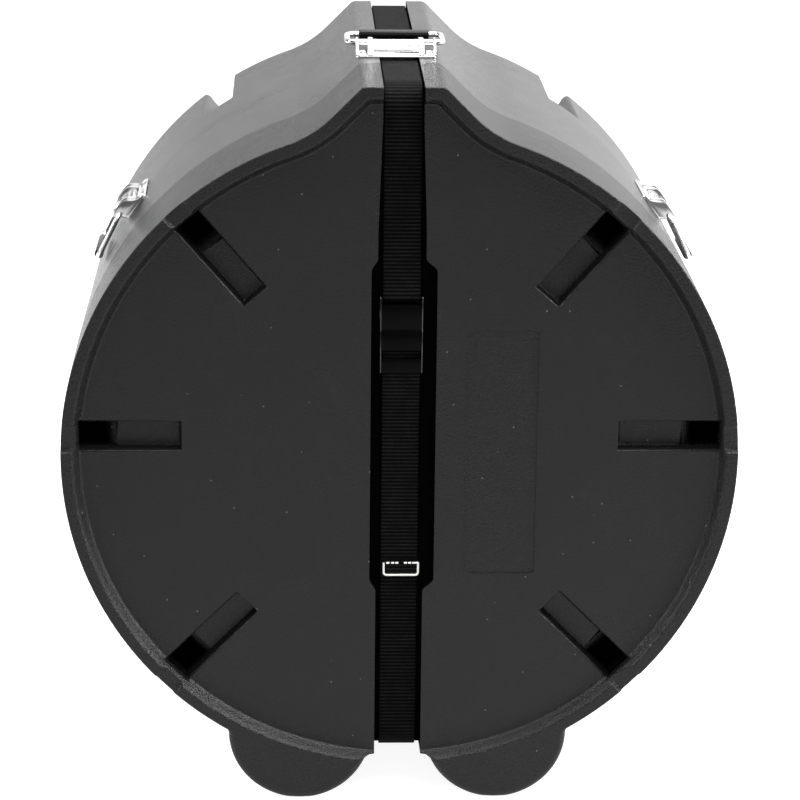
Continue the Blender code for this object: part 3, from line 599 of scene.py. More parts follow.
def foot_gap(inset):
    """Block that takes the low strip of the body away between the feet."""
    case = sizes("case")
    half = 0.040 + inset
    return block("foot_gap", (-half, front - 3 * overrun, -3 * overrun),
                 (half, back + 3 * overrun, case.centre_height - case.channel_low + inset))


def channel_ring(inset):
    """Ring that cuts the strap's channel, widened by inset."""
    case = sizes("case")
    reach = 2 * overrun
    height = case.centre_height
    half = case.channel_half + inset
    ring = block("channel", (-half, front - reach, -reach),
                 (half, back + reach, height + case.ridge_top + reach))
    core = block("core", (-half - reach, front + case.channel_depth + inset,
                          height - case.channel_low + inset),
                 (half + reach, back - case.channel_rear - inset,
                  height + case.channel_top - inset))
    round_edges(core, case.channel_corner - inset, 10,
                lambda edge: runs(edge, 0) and middle(edge).y < 0)
    round_edges(core, case.rear_corner - inset, 6,
                lambda edge: runs(edge, 0) and middle(edge).y > back / 2)
    return cut(ring, core, *channel_sides(inset))


def channel_sides(inset):
    """Wedges that keep the channel narrow along the ridge and the top of the face."""
    case = sizes("case")
    wide, slim = case.channel_half + inset, case.channel_narrow + inset
    spare, top = 0.02, 0.46
    sides = []
    for side in (1, -1):
        outline = [(side * x, z) for x, z in
                   ((slim, top), (slim, case.narrow_end), (wide, case.narrow_start),
                    (wide + spare, case.narrow_start), (wide + spare, top))]
        sides.append(skin("side", [upright(outline, front - spare),
                                   upright(outline, back + spare)]))
    return sides


def pocket_block(inset):
    """Wider part of the channel round the buckle, eased into the channel at its ends."""
    case = sizes("case")
    wide, slim = case.pocket_half + inset, case.channel_half + inset / 2
    low, high = case.pocket_bottom - inset, case.pocket_top + inset
    steps = 8
    halves = []
    for shift in (case.pocket_shift, -case.pocket_shift):
        side = []
        for index in range(steps + 1):
            share = index / steps
            ease = share * share * (3 - 2 * share)
            side.append((slim + (wide + shift - slim) * ease, low + case.pocket_run * share))
        halves.append(side + [(x, high - (z - low)) for x, z in reversed(side)])
    outline = halves[0] + [(-x, z) for x, z in reversed(halves[1])]
    floor = front + case.channel_depth + inset
    return skin("pocket", [upright(outline, front - overrun), upright(outline, floor)])


def slot_tools(place, inset):
    """Shallow slot with drafted walls, the deep pit at its outer end, and the dent."""
    slot = sizes("slot")
    turn = outward(*place)
    half = slot.half + inset

    def ring(depth, near, far, wide):
        corners = ((near, -wide), (far, -wide), (far, wide), (near, wide))
        return [turn @ Vector((out, front + depth, across)) for out, across in corners]

    if inset:
        end = slot.outer + inset
        shallow = [ring(deep, slot.inner - inset, end, half)
                   for deep in (-overrun, slot.depth + inset)]
        deep = [ring(0.0, slot.roll, end, half),
                ring(slot.depth + inset, slot.roll - inset / 2, end, half),
                ring(slot.depth + 0.006 + inset, slot.fall - inset, end, half),
                ring(slot.pit + inset, slot.fall - inset, end, half)]
        return [skin("slot", shallow), skin("pit", deep)]
    case = sizes("case")
    face, lip = case.face_recess, slot.lip
    mouth = [(-overrun, lip), (face - 0.0002, lip)]
    mouth += [(face + lip - lip * math.cos(math.radians(turn)),
               lip - lip * math.sin(math.radians(turn))) for turn in (20, 40, 60, 90)]
    shallow = [ring(deep, slot.inner - flare, slot.outer, half + flare)
               for deep, flare in mouth]
    shallow += [ring(slot.depth - 0.0016, slot.inner + 0.0012, slot.outer, half - 0.0012),
                ring(slot.depth, slot.inner + 0.0028, slot.outer, half - 0.0028)]
    steps = ((-0.0110, 0.0, 0.0006), (-0.0008, 0.0, 0.0017), (0.0004, 0.0025, 0.0018),
             (0.0022, 0.0065, 0.0019), (0.0052, 0.0100, 0.0020), (0.0100, 0.0125, 0.0021))
    deep = [ring(slot.depth + sink, slot.roll + run, slot.outer + 0.0001, half - slim)
            for sink, run, slim in steps]
    deep += [ring(slot.pit - 0.002, slot.fall, slot.outer - 0.0006, half - 0.0024),
             ring(slot.pit, slot.fall + 0.002, slot.outer - 0.0026, half - 0.0044)]
    dent = [ring(sink, slot.outer - 0.002, case.body_radius + overrun, half + more)
            for sink, more in ((-overrun, 0.003), (slot.dent * 0.4, -0.001),
                               (slot.dent, -0.005))]
    return [skin("slot", shallow), skin("pit", deep), skin("dent", dent)]


def notch_tool(place, inset):
    """Cutter of one rear notch: drafted walls, a flared mouth and a short run-in."""
    slot = sizes("slot")
    turn = outward(*place)
    reach = sizes("case").body_radius
    floor, half = slot.notch_floor - inset, slot.notch_half + inset
    start, stop = back - slot.notch_length - inset, back + overrun
    if inset:
        steps = ((floor, 0.010, 0.0), (reach + overrun, 0.0, 0.0))
    else:
        steps = ((floor, 0.014, -0.0062), (floor + 0.0006, 0.011, -0.0044),
                 (floor + 0.0022, 0.008, -0.0032), (reach - 0.0090, 0.003, 0.0),
                 (reach - 0.0050, 0.002, 0.0008), (reach - 0.0024, 0.001, 0.0022),
                 (reach - 0.0006, 0.0, 0.0045), (reach + 0.0008, -0.001, 0.0080))
    rings = []
    for out, run_in, flare in steps:
        near, wide = start + run_in, half + flare
        rings.append([turn @ Vector((out, deep, across)) for deep, across in
                      ((near, -wide), (stop, -wide), (stop, wide), (near, wide))])
    return skin("notch", rings)


def tidy_flats(piece):
    """Dissolve the leftover edges of flat faces."""
    open_edit(piece, "FACE", lambda face: True)
    bpy.ops.mesh.remove_doubles(threshold=weld)
    bpy.ops.mesh.dissolve_limited(angle_limit=math.radians(0.2), use_dissolve_boundaries=False)
    put_down()
    return piece


def ease_corners(piece, edge):
    """Round the moulding's sharp corners but not the edge where the halves meet."""
    size = sizes("case").edge_round
    bend, many = math.radians(32.0), 8
    open_edit(piece, "FACE", lambda face: face.normal.z < -0.99 and len(face.verts) > many)
    bpy.ops.mesh.quads_convert_to_tris()
    put_down()
    round_edges(piece, size, 2, lambda line: line.calc_face_angle(0.0) > bend
                and abs(middle(line).y - edge) > size)
    return apply_step(shade(piece), "WEIGHTED_NORMAL", keep_sharp=True)


def make_lid():
    """Lid half with rounded bead, slots, pits, channel and bare name plate recess."""
    case = sizes("case")
    slot = sizes("slot")
    lid = shell_blank("lid_moulding", parting, front, -1, case.face_recess)
    cut(lid, channel_ring(0.0), pocket_block(0.0))
    slots, pits, dents = zip(*[slot_tools(place, 0.0) for place in slot_places()])
    cut(lid, gather("dents", dents), gather("slots", slots), gather("pits", pits))
    height = case.centre_height
    face = front + case.face_recess
    plate = block("plate", (slot.plate_left, face - 0.0015, height + slot.plate_low),
                  (slot.plate_right, face + slot.plate_depth, height + slot.plate_high))
    round_edges(plate, slot.plate_corner, 4, lambda edge: runs(edge, 1))
    cut(lid, plate)
    tidy_flats(lid)
    inner = skin("inside", [upright(case_outline(case.wall), depth) for depth in
                            (parting + overrun, front + case.face_recess + case.wall)])
    cut(inner, channel_ring(case.wall), pocket_block(case.wall))
    walls, deeps = zip(*[slot_tools(place, case.wall) for place in slot_places()])
    cut(inner, gather("slot_walls", walls), gather("pit_walls", deeps))
    cut(lid, inner)
    tidy_flats(lid)
    return ease_corners(lid, parting)


def drum(name, radius, low, high):
    """Round drum along Y about the body's axis."""
    steps = sizes("case").circle_steps // 2
    return skin(name, [upright(arc(0, 0, radius, 0, 360, steps)[:-1], depth)
                       for depth in (low, high)])


def make_base():
    """Base half with rear notches and the tongue that enters the lid."""
    case = sizes("case")
    start = parting + seat_gap
    base = shell_blank("base_moulding", start, back, 1, case.rear_recess)
    cut(base, channel_ring(0.0))
    cut(base, gather("notches", [notch_tool(place, 0.0) for place in notch_places()]))
    tidy_flats(base)
    lip = case.body_radius - case.wall - case.tongue_clearance
    inside = skin("inside", [upright(case_outline(case.wall), depth) for depth in
                             (start + case.tongue_flange, back - case.rear_recess - case.wall)])
    cut(inside, channel_ring(case.wall))
    cut(inside, gather("notch_walls", [notch_tool(place, case.wall)
                                       for place in notch_places()]))
    tongue = drum("tongue", lip, start - case.tongue_reach, start + case.tongue_flange)
    spare = case.wall + case.tongue_clearance
    cut(tongue, channel_ring(spare), foot_gap(spare))
    mouth = drum("mouth", lip - case.wall, start - case.tongue_reach - overrun,
                 start + 2 * case.tongue_flange)
    cut(mouth, channel_ring(case.wall + spare), foot_gap(case.wall + spare))
    fuse(base, tongue)
    cut(base, inside, mouth)
    tidy_flats(base)
    return ease_corners(base, start)


# Webbing

def strap_section(width, thickness, columns):
    """Cross section of webbing with rounded selvedges, across and through."""
    half, lift = width / 2, thickness / 2
    edge = lift * 0.9
    top = [(-half + edge + (width - 2 * edge) * step / columns, lift)
           for step in range(columns + 1)]
    cap = [(half - edge + edge * math.sin(math.radians(turn)),
            lift * math.cos(math.radians(turn))) for turn in (30, 60, 90, 120, 150)]
    under = [(x, -lift) for x, _ in reversed(top)]
    return top + cap + under + [(-x, -z) for x, z in cap]


def walk(points, step):
    """Split a line in Y and Z into short pieces."""
    out = [Vector(points[0])]
    for place in points[1:]:
        place = Vector(place)
        gap = (place - out[-1]).length
        if gap < weld:
            continue
        parts = max(1, math.ceil(gap / step))
        start = out[-1]
        for index in range(1, parts + 1):
            out.append(start.lerp(place, index / parts))
    return out


def strap(name, points, width, thickness, shift, step=0.006):
    """Webbing along a centre line in Y and Z, with its length on its own map."""
    height = sizes("case").centre_height
    line = walk(points, step)
    section = strap_section(width, thickness, 8)
    rings, along = [], [0.0]
    for index, place in enumerate(line):
        before = line[max(index - 1, 0)]
        after = line[min(index + 1, len(line) - 1)]
        first = (place - before).normalized() if index else (after - place).normalized()
        last = (after - place).normalized() if index < len(line) - 1 else first
        way = (first + last).normalized()
        normal = Vector((-way.y, way.x))
        stretch = 1.0 / max(0.5, first.dot(way))
        if index:
            along.append(along[-1] + (place - before).length)
        rings.append([Vector((shift + across, place.x + normal.x * lift * stretch,
                              height + place.y + normal.y * lift * stretch))
                      for across, lift in section])
    piece = skin(name, rings)
    lay_map(piece, rings, section, along)
    return shade(piece, 50.0)


def lay_map(piece, rings, section, along):
    """Map the skin's faces by the distance across and along the webbing."""
    mesh = piece.data
    layer = mesh.uv_layers.new(name="along")
    places = {}
    for row, ring in enumerate(rings):
        for spot, place in zip(section, ring):
            places[tuple(round(value * 20000) for value in place)] = (spot, along[row])
    for loop in mesh.loops:
        key = tuple(round(value * 20000) for value in mesh.vertices[loop.vertex_index].co)
        spot, run = places.get(key, ((0.0, 0.0), 0.0))
        layer.data[loop.index].uv = (spot[0], run)


def strap_lines():
    """Centre lines of the webbing in Y and Z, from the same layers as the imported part."""
    case = sizes("case")
    web = sizes("strap")
    buckle = sizes("buckle")
    lift = seat_gap + web.thickness / 2
    bend, rear_bend = case.channel_corner + lift, case.rear_corner + lift
    low_y, high_y = front + case.channel_depth - lift, back - case.channel_rear + lift
    low_z, high_z = -case.channel_low - lift, case.channel_top + lift
    floor = low_y
    bar = floor - web.thickness / 2 - seat_gap - buckle.bar_radius
    loop = bar - buckle.bar_radius - seat_gap - web.thickness / 2
    close = floor - web.thickness - seat_gap
    turn_radius, ease = (floor - loop) / 2, web.ease
    settle_height = buckle.socket_bar + web.sewn_return
    upper = [(parting - seat_gap, high_z)]
    upper += arc(low_y + bend, high_z - bend, bend, 90.0, 180.0, 12)
    upper += [(low_y, settle_height + 3 * ease), (close, settle_height + ease),
              (close, buckle.socket_bar + ease + 0.004)]
    upper += arc(bar, buckle.socket_bar, turn_radius, 180.0, 360.0, 14)
    upper += [(floor, settle_height)]
    lower = [(parting - seat_gap, low_z)]
    lower += arc(low_y + bend, low_z + bend, bend, 270.0, 180.0, 12)
    lower += arc(bar, buckle.plug_bar, turn_radius, 0.0, 180.0, 14)
    lower += [(loop, buckle.plug_bar - 3 * ease), (close, buckle.plug_bar - 6 * ease),
              (close, web.tail_end)]
    rear = [(parting + seat_gap, high_z)]
    rear += arc(high_y - rear_bend, high_z - rear_bend, rear_bend, 90.0, 0.0, 12)
    rear += arc(high_y - rear_bend, low_z + rear_bend, rear_bend, 360.0, 270.0, 12)
    rear += [(parting + seat_gap, low_z)]
    tab = close - web.thickness / 2 - seat_gap - web.tab_thickness / 2
    return {"upper": upper, "lower": lower, "rear": rear, "tab": tab}


# Short stitches across the tab: places sideways, drop below its edge, rise to one side
stitch_places = (-0.0135, -0.0085, -0.0042, 0.0048, 0.0092, 0.0133, 0.0165)
stitch_drop, stitch_rise = 0.0021, 0.0001


def make_webbing():
    """All lengths of webbing and the stitched tab."""
    web = sizes("strap")
    height = sizes("case").centre_height
    lines = strap_lines()
    pieces = {word: strap(name, lines[word], web.width, web.thickness, 0.0)
              for word, name in (("upper", "strap_to_socket"), ("lower", "strap_to_plug"),
                                 ("rear", "strap_round_base"))}
    depth = lines["tab"]
    low, high = web.tail_end, web.tail_end + web.tab_height
    tab = strap("strap_end_fold", [(depth, high), (depth, low)], web.width,
                web.tab_thickness, web.tab_shift, 0.002)
    pieces["tab"] = tab
    surface = depth - web.tab_thickness / 2
    half = web.width / 2 - web.border_inset
    rim, corner = web.border_radius, web.border_corner
    side = [(-half, high - 0.002)]
    side += arc(-half + corner, low + rim + corner, corner, 180.0, 270.0, 5)
    side += arc(half - corner, low + rim + corner, corner, 270.0, 360.0, 5)
    side += [(half, high - 0.002)]
    border = [(x + web.tab_shift, surface, z + height) for x, z in side]
    stitches = [tube("thread", border, rim, 2)]
    reach, lift = 0.0014, 0.0004
    for spot in stitch_places:
        line = [(spot + web.tab_shift + way * reach, surface - (0.0 if way else lift),
                 height + high + stitch_rise * way - stitch_drop) for way in (-1, 0, 1)]
        stitches.append(tube("thread", line, web.stitch_radius, 2))
    pieces["thread"] = shade(gather("strap_end_thread", stitches), 60.0)
    return pieces


# Buckle

def rod(name, start, end, radius, steps):
    """Round rod between two points."""
    put_down()
    start, end = Vector(start), Vector(end)
    turn = (end - start).to_track_quat("Z", "Y")
    bpy.ops.mesh.primitive_cylinder_add(vertices=steps, radius=radius,
                                        depth=(end - start).length,
                                        location=(start + end) / 2)
    piece = named(name)
    piece.rotation_mode = "QUATERNION"
    piece.rotation_quaternion = turn
    return settle(piece)


def buckle_depths():
    """Front of the buckle, middle of its webbing bars and its back."""
    case = sizes("case")
    web = sizes("strap")
    size = sizes("buckle")
    floor = front + case.channel_depth - seat_gap - web.thickness / 2
    bar = floor - web.thickness / 2 - seat_gap - size.bar_radius
    return front + size.face, bar, bar + size.bar_radius + seat_gap / 2


def round_shell(piece, near, at_end):
    """Round the long front edges of a buckle half and the corners of one end."""
    corner = sizes("buckle").corner
    round_edges(piece, corner, 4, lambda edge: runs(edge, 2) and middle(edge).y < near + weld)
    return round_edges(piece, corner, 4, lambda edge: runs(edge, 1) and at_end(middle(edge).z))


def webbing_bar(depth, height):
    """Round bar of the buckle that the webbing turns round."""
    size = sizes("buckle")
    reach = size.rail_inner + 0.001
    return rod("bar", (-reach, depth, height), (reach, depth, height), size.bar_radius, 24)


def make_socket():
    """Upper half of the buckle: rounded block with throat, side windows and bar."""
    size = sizes("buckle")
    height = sizes("case").centre_height
    near, bar, far = buckle_depths()
    top = size.socket_bar + size.bar_radius + seat_gap
    socket = block("socket_body", (-size.half, near, height + size.mouth),
                   (size.half, far, height + top))
    round_shell(socket, near, lambda rise: rise > height + top - 0.004)
    cut(socket, block("gap", (-size.rail_inner, near - overrun, height + size.block_top),
                      (size.rail_inner, far + overrun, height + top + overrun)))
    cut(socket, block("throat", (-size.throat_half, near + size.throat_wall,
                                 height + size.mouth - overrun),
                      (size.throat_half, far - size.throat_wall, height + size.throat_top)))
    window = block("window", (-size.half - overrun, near + size.throat_wall,
                              height + size.window_low),
                   (size.half + overrun, far - size.throat_wall, height + size.window_high))
    cut(socket, window)
    fuse(socket, webbing_bar(bar, height + size.socket_bar))
    return shade(soften(tidy_flats(socket), size.soft_edge))


def make_plug():
    """Lower half of the buckle with its shoulder, bars and guide."""
    size = sizes("buckle")
    web = sizes("strap")
    height = sizes("case").centre_height
    near, bar, far = buckle_depths()
    loop = bar - size.bar_radius - seat_gap - web.thickness / 2
    plug = block("plug_body", (-size.half, near, height + size.end_low),
                 (size.half, far, height + size.mouth - seat_gap))
    round_shell(plug, near, lambda rise: rise < height + size.end_low + 0.004)
    bar_back = loop - web.thickness / 2 - seat_gap
    gap = [(near - overrun, size.end_high), (bar_back, size.end_high),
           (bar_back, size.end_low - overrun), (far + overrun, size.end_low - overrun),
           (far + overrun, size.shoulder), (near - overrun, size.shoulder)]
    cut(plug, skin_x("gap", [(y, z + height) for y, z in gap],
                     (-size.rail_inner, size.rail_inner)))
    seat = size.mouth - size.prong_root
    for side in (1, -1):
        outer = side * size.throat_half
        inner = side * (size.throat_half - 2 * seat_gap - size.prong_thickness
                        - size.prong_swing)
        cut(plug, block("seat", (min(inner, outer), near + size.throat_wall, height + seat),
                        (max(inner, outer), far - size.throat_wall,
                         height + size.mouth + overrun)))
    fuse(plug, webbing_bar(bar, height + size.plug_bar))
    clear = size.throat_wall + seat_gap
    fuse(plug, block("guide", (-size.guide_half, near + clear, height + size.shoulder + 0.002),
                     (size.guide_half, far - clear, height + size.prong_tip)))
    return shade(soften(tidy_flats(plug), size.soft_edge))


def make_prong():
    """Right catch of the plug, with its hook."""
    size = sizes("buckle")
    height = sizes("case").centre_height
    near, _, far = buckle_depths()
    centre = size.throat_half - seat_gap - size.prong_thickness / 2
    half = size.prong_thickness / 2
    root = size.mouth - size.prong_root + seat_gap + half
    points = arc(0.0, 0.0, half, 180.0, 360.0, 10)
    tip = size.prong_tip - root
    points += [(half, tip - size.prong_thickness), (half * 0.6, tip - half * 0.5),
               (0.0, tip), (-half, tip)]
    thickness = (far - near) / 2 - size.throat_wall - seat_gap
    depth = (near + far) / 2
    prong = skin("prong_right", [[Vector((centre + x, depth + way * thickness,
                                          height + root + z)) for x, z in points]
                                 for way in (-1, 1)])
    return shade(soften(prong, size.prong_edge))


# Handles

def handle_frames():
    """Frames of the three handles, standing on the outer wall."""
    case = sizes("case")
    size = sizes("handle")
    frames = {"top": Matrix.Translation((size.top_shift,
                                         front + size.front_edge + size.base_half_length,
                                         case.centre_height + case.ridge_top))}
    for side, word in ((1, "right"), (-1, "left")):
        angle = size.side_angle
        out = Vector((side * math.cos(angle), 0.0, math.sin(angle)))
        down = Vector((side * math.sin(angle), 0.0, -math.cos(angle)))
        turn = Matrix((down.cross(out), down, out)).transposed().to_4x4()
        place = out * case.body_radius
        frames[word] = Matrix.Translation((place.x, front + size.side_front_edge
                                           + size.base_half_width,
                                           case.centre_height + place.z)) @ turn
    return frames


def bail_frame(rise):
    """Frame at the hinge in a handle's own frame, second axis to the grip."""
    size = sizes("handle")
    tilt = math.asin((rise - size.hinge_height) / size.arm)
    return (Matrix.Translation((0.0, size.hinge_along, size.hinge_height))
            @ Matrix.Rotation(tilt, 4, "X"))


# Side profile of a hinge cheek as shares of the base's length and the cheek's height
cheek_shares = ((0.03, 0.0), (0.03, 0.125), (0.14, 0.135), (0.26, 0.17), (0.35, 0.36),
                (0.43, 0.63), (0.50, 0.80), (0.58, 0.91), (0.67, 0.975), (0.76, 1.0),
                (1.08, 0.975), (1.16, 0.94), (1.205, 0.88), (1.215, 0.78), (1.20, 0.69),
                (1.09, 0.35), (0.97, 0.0))


# Stepped sheet between the inner cheeks: place along the base and rise above it
web_steps = ((-0.0135, 0.0005), (-0.008, 0.0008), (-0.0074, 0.0030), (-0.001, 0.0034),
             (-0.0004, 0.0056), (0.0060, 0.0060), (0.0066, 0.0076), (0.0120, 0.0078),
             (0.0140, 0.0060))


def make_handle_base():
    """Pressed plate with rounded corners, a raised middle and two hinge cheeks."""
    size = sizes("handle")
    wide, deep = size.base_half_width, size.base_half_length
    low, high = seat_gap, seat_gap + size.base_thickness
    plate = block("plate", (-wide, -deep, low), (wide, deep, high))
    round_edges(plate, size.plate_corner, 5, lambda edge: runs(edge, 2))
    round_edges(plate, size.plate_edge, 2, lambda edge: middle(edge).z > high - weld
                and not runs(edge, 2))
    root = seat_gap + size.base_thickness / 2
    profile = [(-deep + 2 * deep * along, root + (size.cheek_height - root) * rise)
               for along, rise in cheek_shares]
    cheeks = []
    for side in (1, -1):
        for place, sheet in ((size.inner_cheek, size.inner_sheet),
                             (size.outer_cheek, size.outer_sheet)):
            ends = (side * place - sheet / 2, side * place + sheet / 2)
            cheeks.append(skin_x("cheek", profile, ends))
            round_edges(cheeks[-1], size.cheek_edge, 2, lambda edge: not runs(edge, 0)
                        and middle(edge).z > high)
    web = [(-0.0135, root)] + [(y, high + rise) for y, rise in web_steps] + [(0.0146, root)]
    fuse(plate, skin_x("web", web, (-size.inner_cheek, size.inner_cheek)), *cheeks)
    hinge = (size.hinge_along, size.hinge_height)
    cut(plate, rod("bore", (-wide, *hinge), (wide, *hinge), size.wire_radius + size.bore_play, 28))
    holes = [rod("hole", (x, y, -overrun), (x, y, overrun), size.rivet_shank + seat_gap, 16)
             for x, y in rivet_places()]
    cut(plate, gather("holes", holes))
    tidy_flats(plate)
    plate.name = "handle_plate"
    return shade(plate)


def rivet_places():
    """Places of the four rivets on a handle's base."""
    size = sizes("handle")
    return [(side * size.rivet_across, spot) for side in (-1, 1)
            for spot in (size.rivet_low, size.rivet_high)]


def make_wire():
    """Closed bail with rounded corners, in the frame of its hinge."""
    size = sizes("handle")
    corner, wide, far = size.wire_corner, size.wire_half_width, size.arm
    path = arc(wide - corner, corner, corner, 270.0, 360.0, 10)
    path += arc(wide - corner, far - corner, corner, 0.0, 90.0, 10)
    path += [(-x, y) for x, y in reversed(path)]
    loop = [(x, y, 0.0) for x, y in path]
    return shade(tube("bail_wire", loop, size.wire_radius, 4, True), 60.0)


def make_sleeve():
    """Round sleeve with rolled ends and a bore, in the frame of its hinge."""
    size = sizes("handle")
    sleeve = rod("sleeve", (-size.grip_half_length, size.arm, 0.0),
                 (size.grip_half_length, size.arm, 0.0), size.grip_radius, 40)
    open_edit(sleeve, "FACE", lambda face: abs(face.normal.x) > 0.9)
    bpy.ops.mesh.inset(thickness=size.grip_radius - size.wire_radius - size.sleeve_play)
    bpy.ops.mesh.bridge_edge_loops()
    put_down()
    face_outwards(sleeve)
    round_edges(sleeve, size.sleeve_edge, 4, lambda edge: abs(middle(edge).x)
                > size.grip_half_length - weld and not runs(edge, 0)
                and (Vector((0.0, size.arm, 0.0)) - Vector((0.0, *middle(edge)[1:]))).length
                > size.grip_radius * 0.9)
    return shade(sleeve, 40.0)


def wall_inside(word, along):
    """Height of the wall's inner face under a rivet, in its handle's frame."""
    case = sizes("case")
    size = sizes("handle")
    if word != "top":
        reach = abs(along) + size.rivet_tail
        return math.sqrt((case.body_radius - case.wall) ** 2 - reach ** 2) - case.body_radius
    crest = max(case.crest_round - case.wall, case.crest_round / 4)
    start = (case.ramp_line - case.wall - crest) * math.sqrt(2) - (
        case.ridge_top - case.wall - crest)
    reach = max(abs(size.top_shift) + size.rivet_across + size.rivet_tail - start, 0.0)
    return math.sqrt(crest ** 2 - reach ** 2) - crest - case.wall


def make_rivet(tail):
    """Domed head, shank and closed tail, spun from a profile; tail is its lower end."""
    size = sizes("handle")
    top = 2 * seat_gap + size.base_thickness
    head, rise = size.rivet_head, size.rivet_rise
    brim, close, low = 0.0003, 0.0010, 0.0015
    dome = [(head * math.sin(math.radians(turn)), top + brim
             + (rise - brim) * math.cos(math.radians(turn)))
            for turn in (0, 15, 30, 45, 60, 75, 90)]
    end = size.rivet_tail
    profile = dome + [(head, top), (size.rivet_shank, top), (size.rivet_shank, tail),
                      (end, tail), (end, tail - close), (end * 0.8, tail - low),
                      (0.0, tail - low)]
    put_down()
    bpy.ops.mesh.primitive_plane_add(size=0.001)
    piece = named("rivet")
    bpy.ops.object.mode_set(mode="EDIT")
    bpy.ops.mesh.select_all(action="SELECT")
    bpy.ops.mesh.delete(type="VERT")
    mesh = bmesh.from_edit_mesh(piece.data)
    verts = [mesh.verts.new((x, 0.0, z)) for x, z in profile]
    for pair in zip(verts, verts[1:]):
        mesh.edges.new(pair)
    bmesh.update_edit_mesh(piece.data)
    bpy.ops.mesh.select_all(action="SELECT")
    bpy.ops.mesh.spin(steps=20, angle=math.tau, center=(0.0, 0.0, 0.0), axis=(0.0, 0.0, 1.0))
    put_down()
    return shade(face_outwards(piece), 40.0)


# Finishes

class Wire:
    """Output socket of a node; arithmetic on it adds Math nodes."""

    def __init__(self, finish, socket):
        self.finish = finish
        self.socket = socket

    def __add__(self, other):
        return self.finish.sum("ADD", self, other)

    def __radd__(self, other):
        return self.finish.sum("ADD", other, self)

    def __sub__(self, other):
        return self.finish.sum("SUBTRACT", self, other)

    def __rsub__(self, other):
        return self.finish.sum("SUBTRACT", other, self)

    def __mul__(self, other):
        return self.finish.sum("MULTIPLY", self, other)

    def __truediv__(self, other):
        return self.finish.sum("DIVIDE", self, other)

    def __abs__(self):
        return self.finish.node("ShaderNodeMath", {"operation": "ABSOLUTE"}, {0: self})

    def above(self, other):
        """1 where this is greater, else 0."""
        return self.finish.sum("GREATER_THAN", self, other)

    def clamp(self):
        """Held between 0 and 1."""
        return self.finish.node("ShaderNodeClamp", inputs={"Value": self})

    def also(self, key):
        """Another output of the same node."""
        return Wire(self.finish, self.socket.node.outputs[key])


class Finish:
    """A material or world under construction, with one method that adds any node."""

    def __init__(self, owner):
        self.owner = owner
        owner.use_nodes = True
        self.tree = owner.node_tree
        self.tree.nodes.clear()

    def node(self, kind, settings=None, inputs=None, output=0):
        """Add a node: its settings first, then the values or links of its sockets."""
        item = self.tree.nodes.new(kind)
        for key, value in (settings or {}).items():
            setattr(item, key, value)
        for key, value in (inputs or {}).items():
            self.feed(item.inputs[key], value)
        return Wire(self, item.outputs[output]) if item.outputs else None

    def feed(self, socket, value):
        """Link a wire to a socket, or set the socket's own value."""
        if isinstance(value, Wire):
            self.tree.links.new(value.socket, socket)
        else:
            socket.default_value = value

    def sum(self, operation, first, second):
        """Math node on two values."""
        return self.node("ShaderNodeMath", {"operation": operation}, {0: first, 1: second})

    def mix(self, factor, first, second):
        """Mix of two colours."""
        return self.node("ShaderNodeMix", {"data_type": "RGBA"},
                         {0: factor, 6: first, 7: second}, 2)

    def place(self):
        """Object coordinates."""
        return self.node("ShaderNodeTexCoord", output=3)

    def noise(self, scale, detail=2.0, roughness=0.5):
        """Noise on object coordinates, scale in features for each metre."""
        return self.node("ShaderNodeTexNoise", {"noise_dimensions": "3D"},
                         {"Vector": self.place(), "Scale": scale, "Detail": detail,
                          "Roughness": roughness})

    def bump(self, height, distance, strength):
        """Bump node, distance in metres."""
        return self.node("ShaderNodeBump", inputs={"Height": height, "Distance": distance,
                                                   "Strength": strength})

    def axes(self):
        """Object coordinates in X, Y and Z."""
        across = self.node("ShaderNodeSeparateXYZ", inputs={"Vector": self.place()})
        return across, across.also(1), across.also(2)

    def blend(self, factor, first, second):
        """Mix of two shaders."""
        return self.node("ShaderNodeMixShader", inputs={0: factor, 1: first, 2: second})

    def principled(self, **inputs):
        """Principled shader; an underscore stands for a space in a socket's name."""
        sockets = {key.replace("_", " "): value for key, value in inputs.items()}
        return self.node("ShaderNodeBsdfPrincipled", inputs=sockets)

    def cover(self, shader):
        """Put a shader on the surface and hand over the finished material."""
        self.node("ShaderNodeOutputMaterial", inputs={"Surface": shader})
        return self.owner


def solid(tone, share=1.0):
    """Share of a colour, with full alpha."""
    return (*[value * share for value in tone], 1.0)


white = solid((1.0, 1.0, 1.0))


def start_finish(name):
    """New material and the colours that finishes are made from."""
    return Finish(bpy.data.materials.new(name)), bpy.context.scene.case_colours


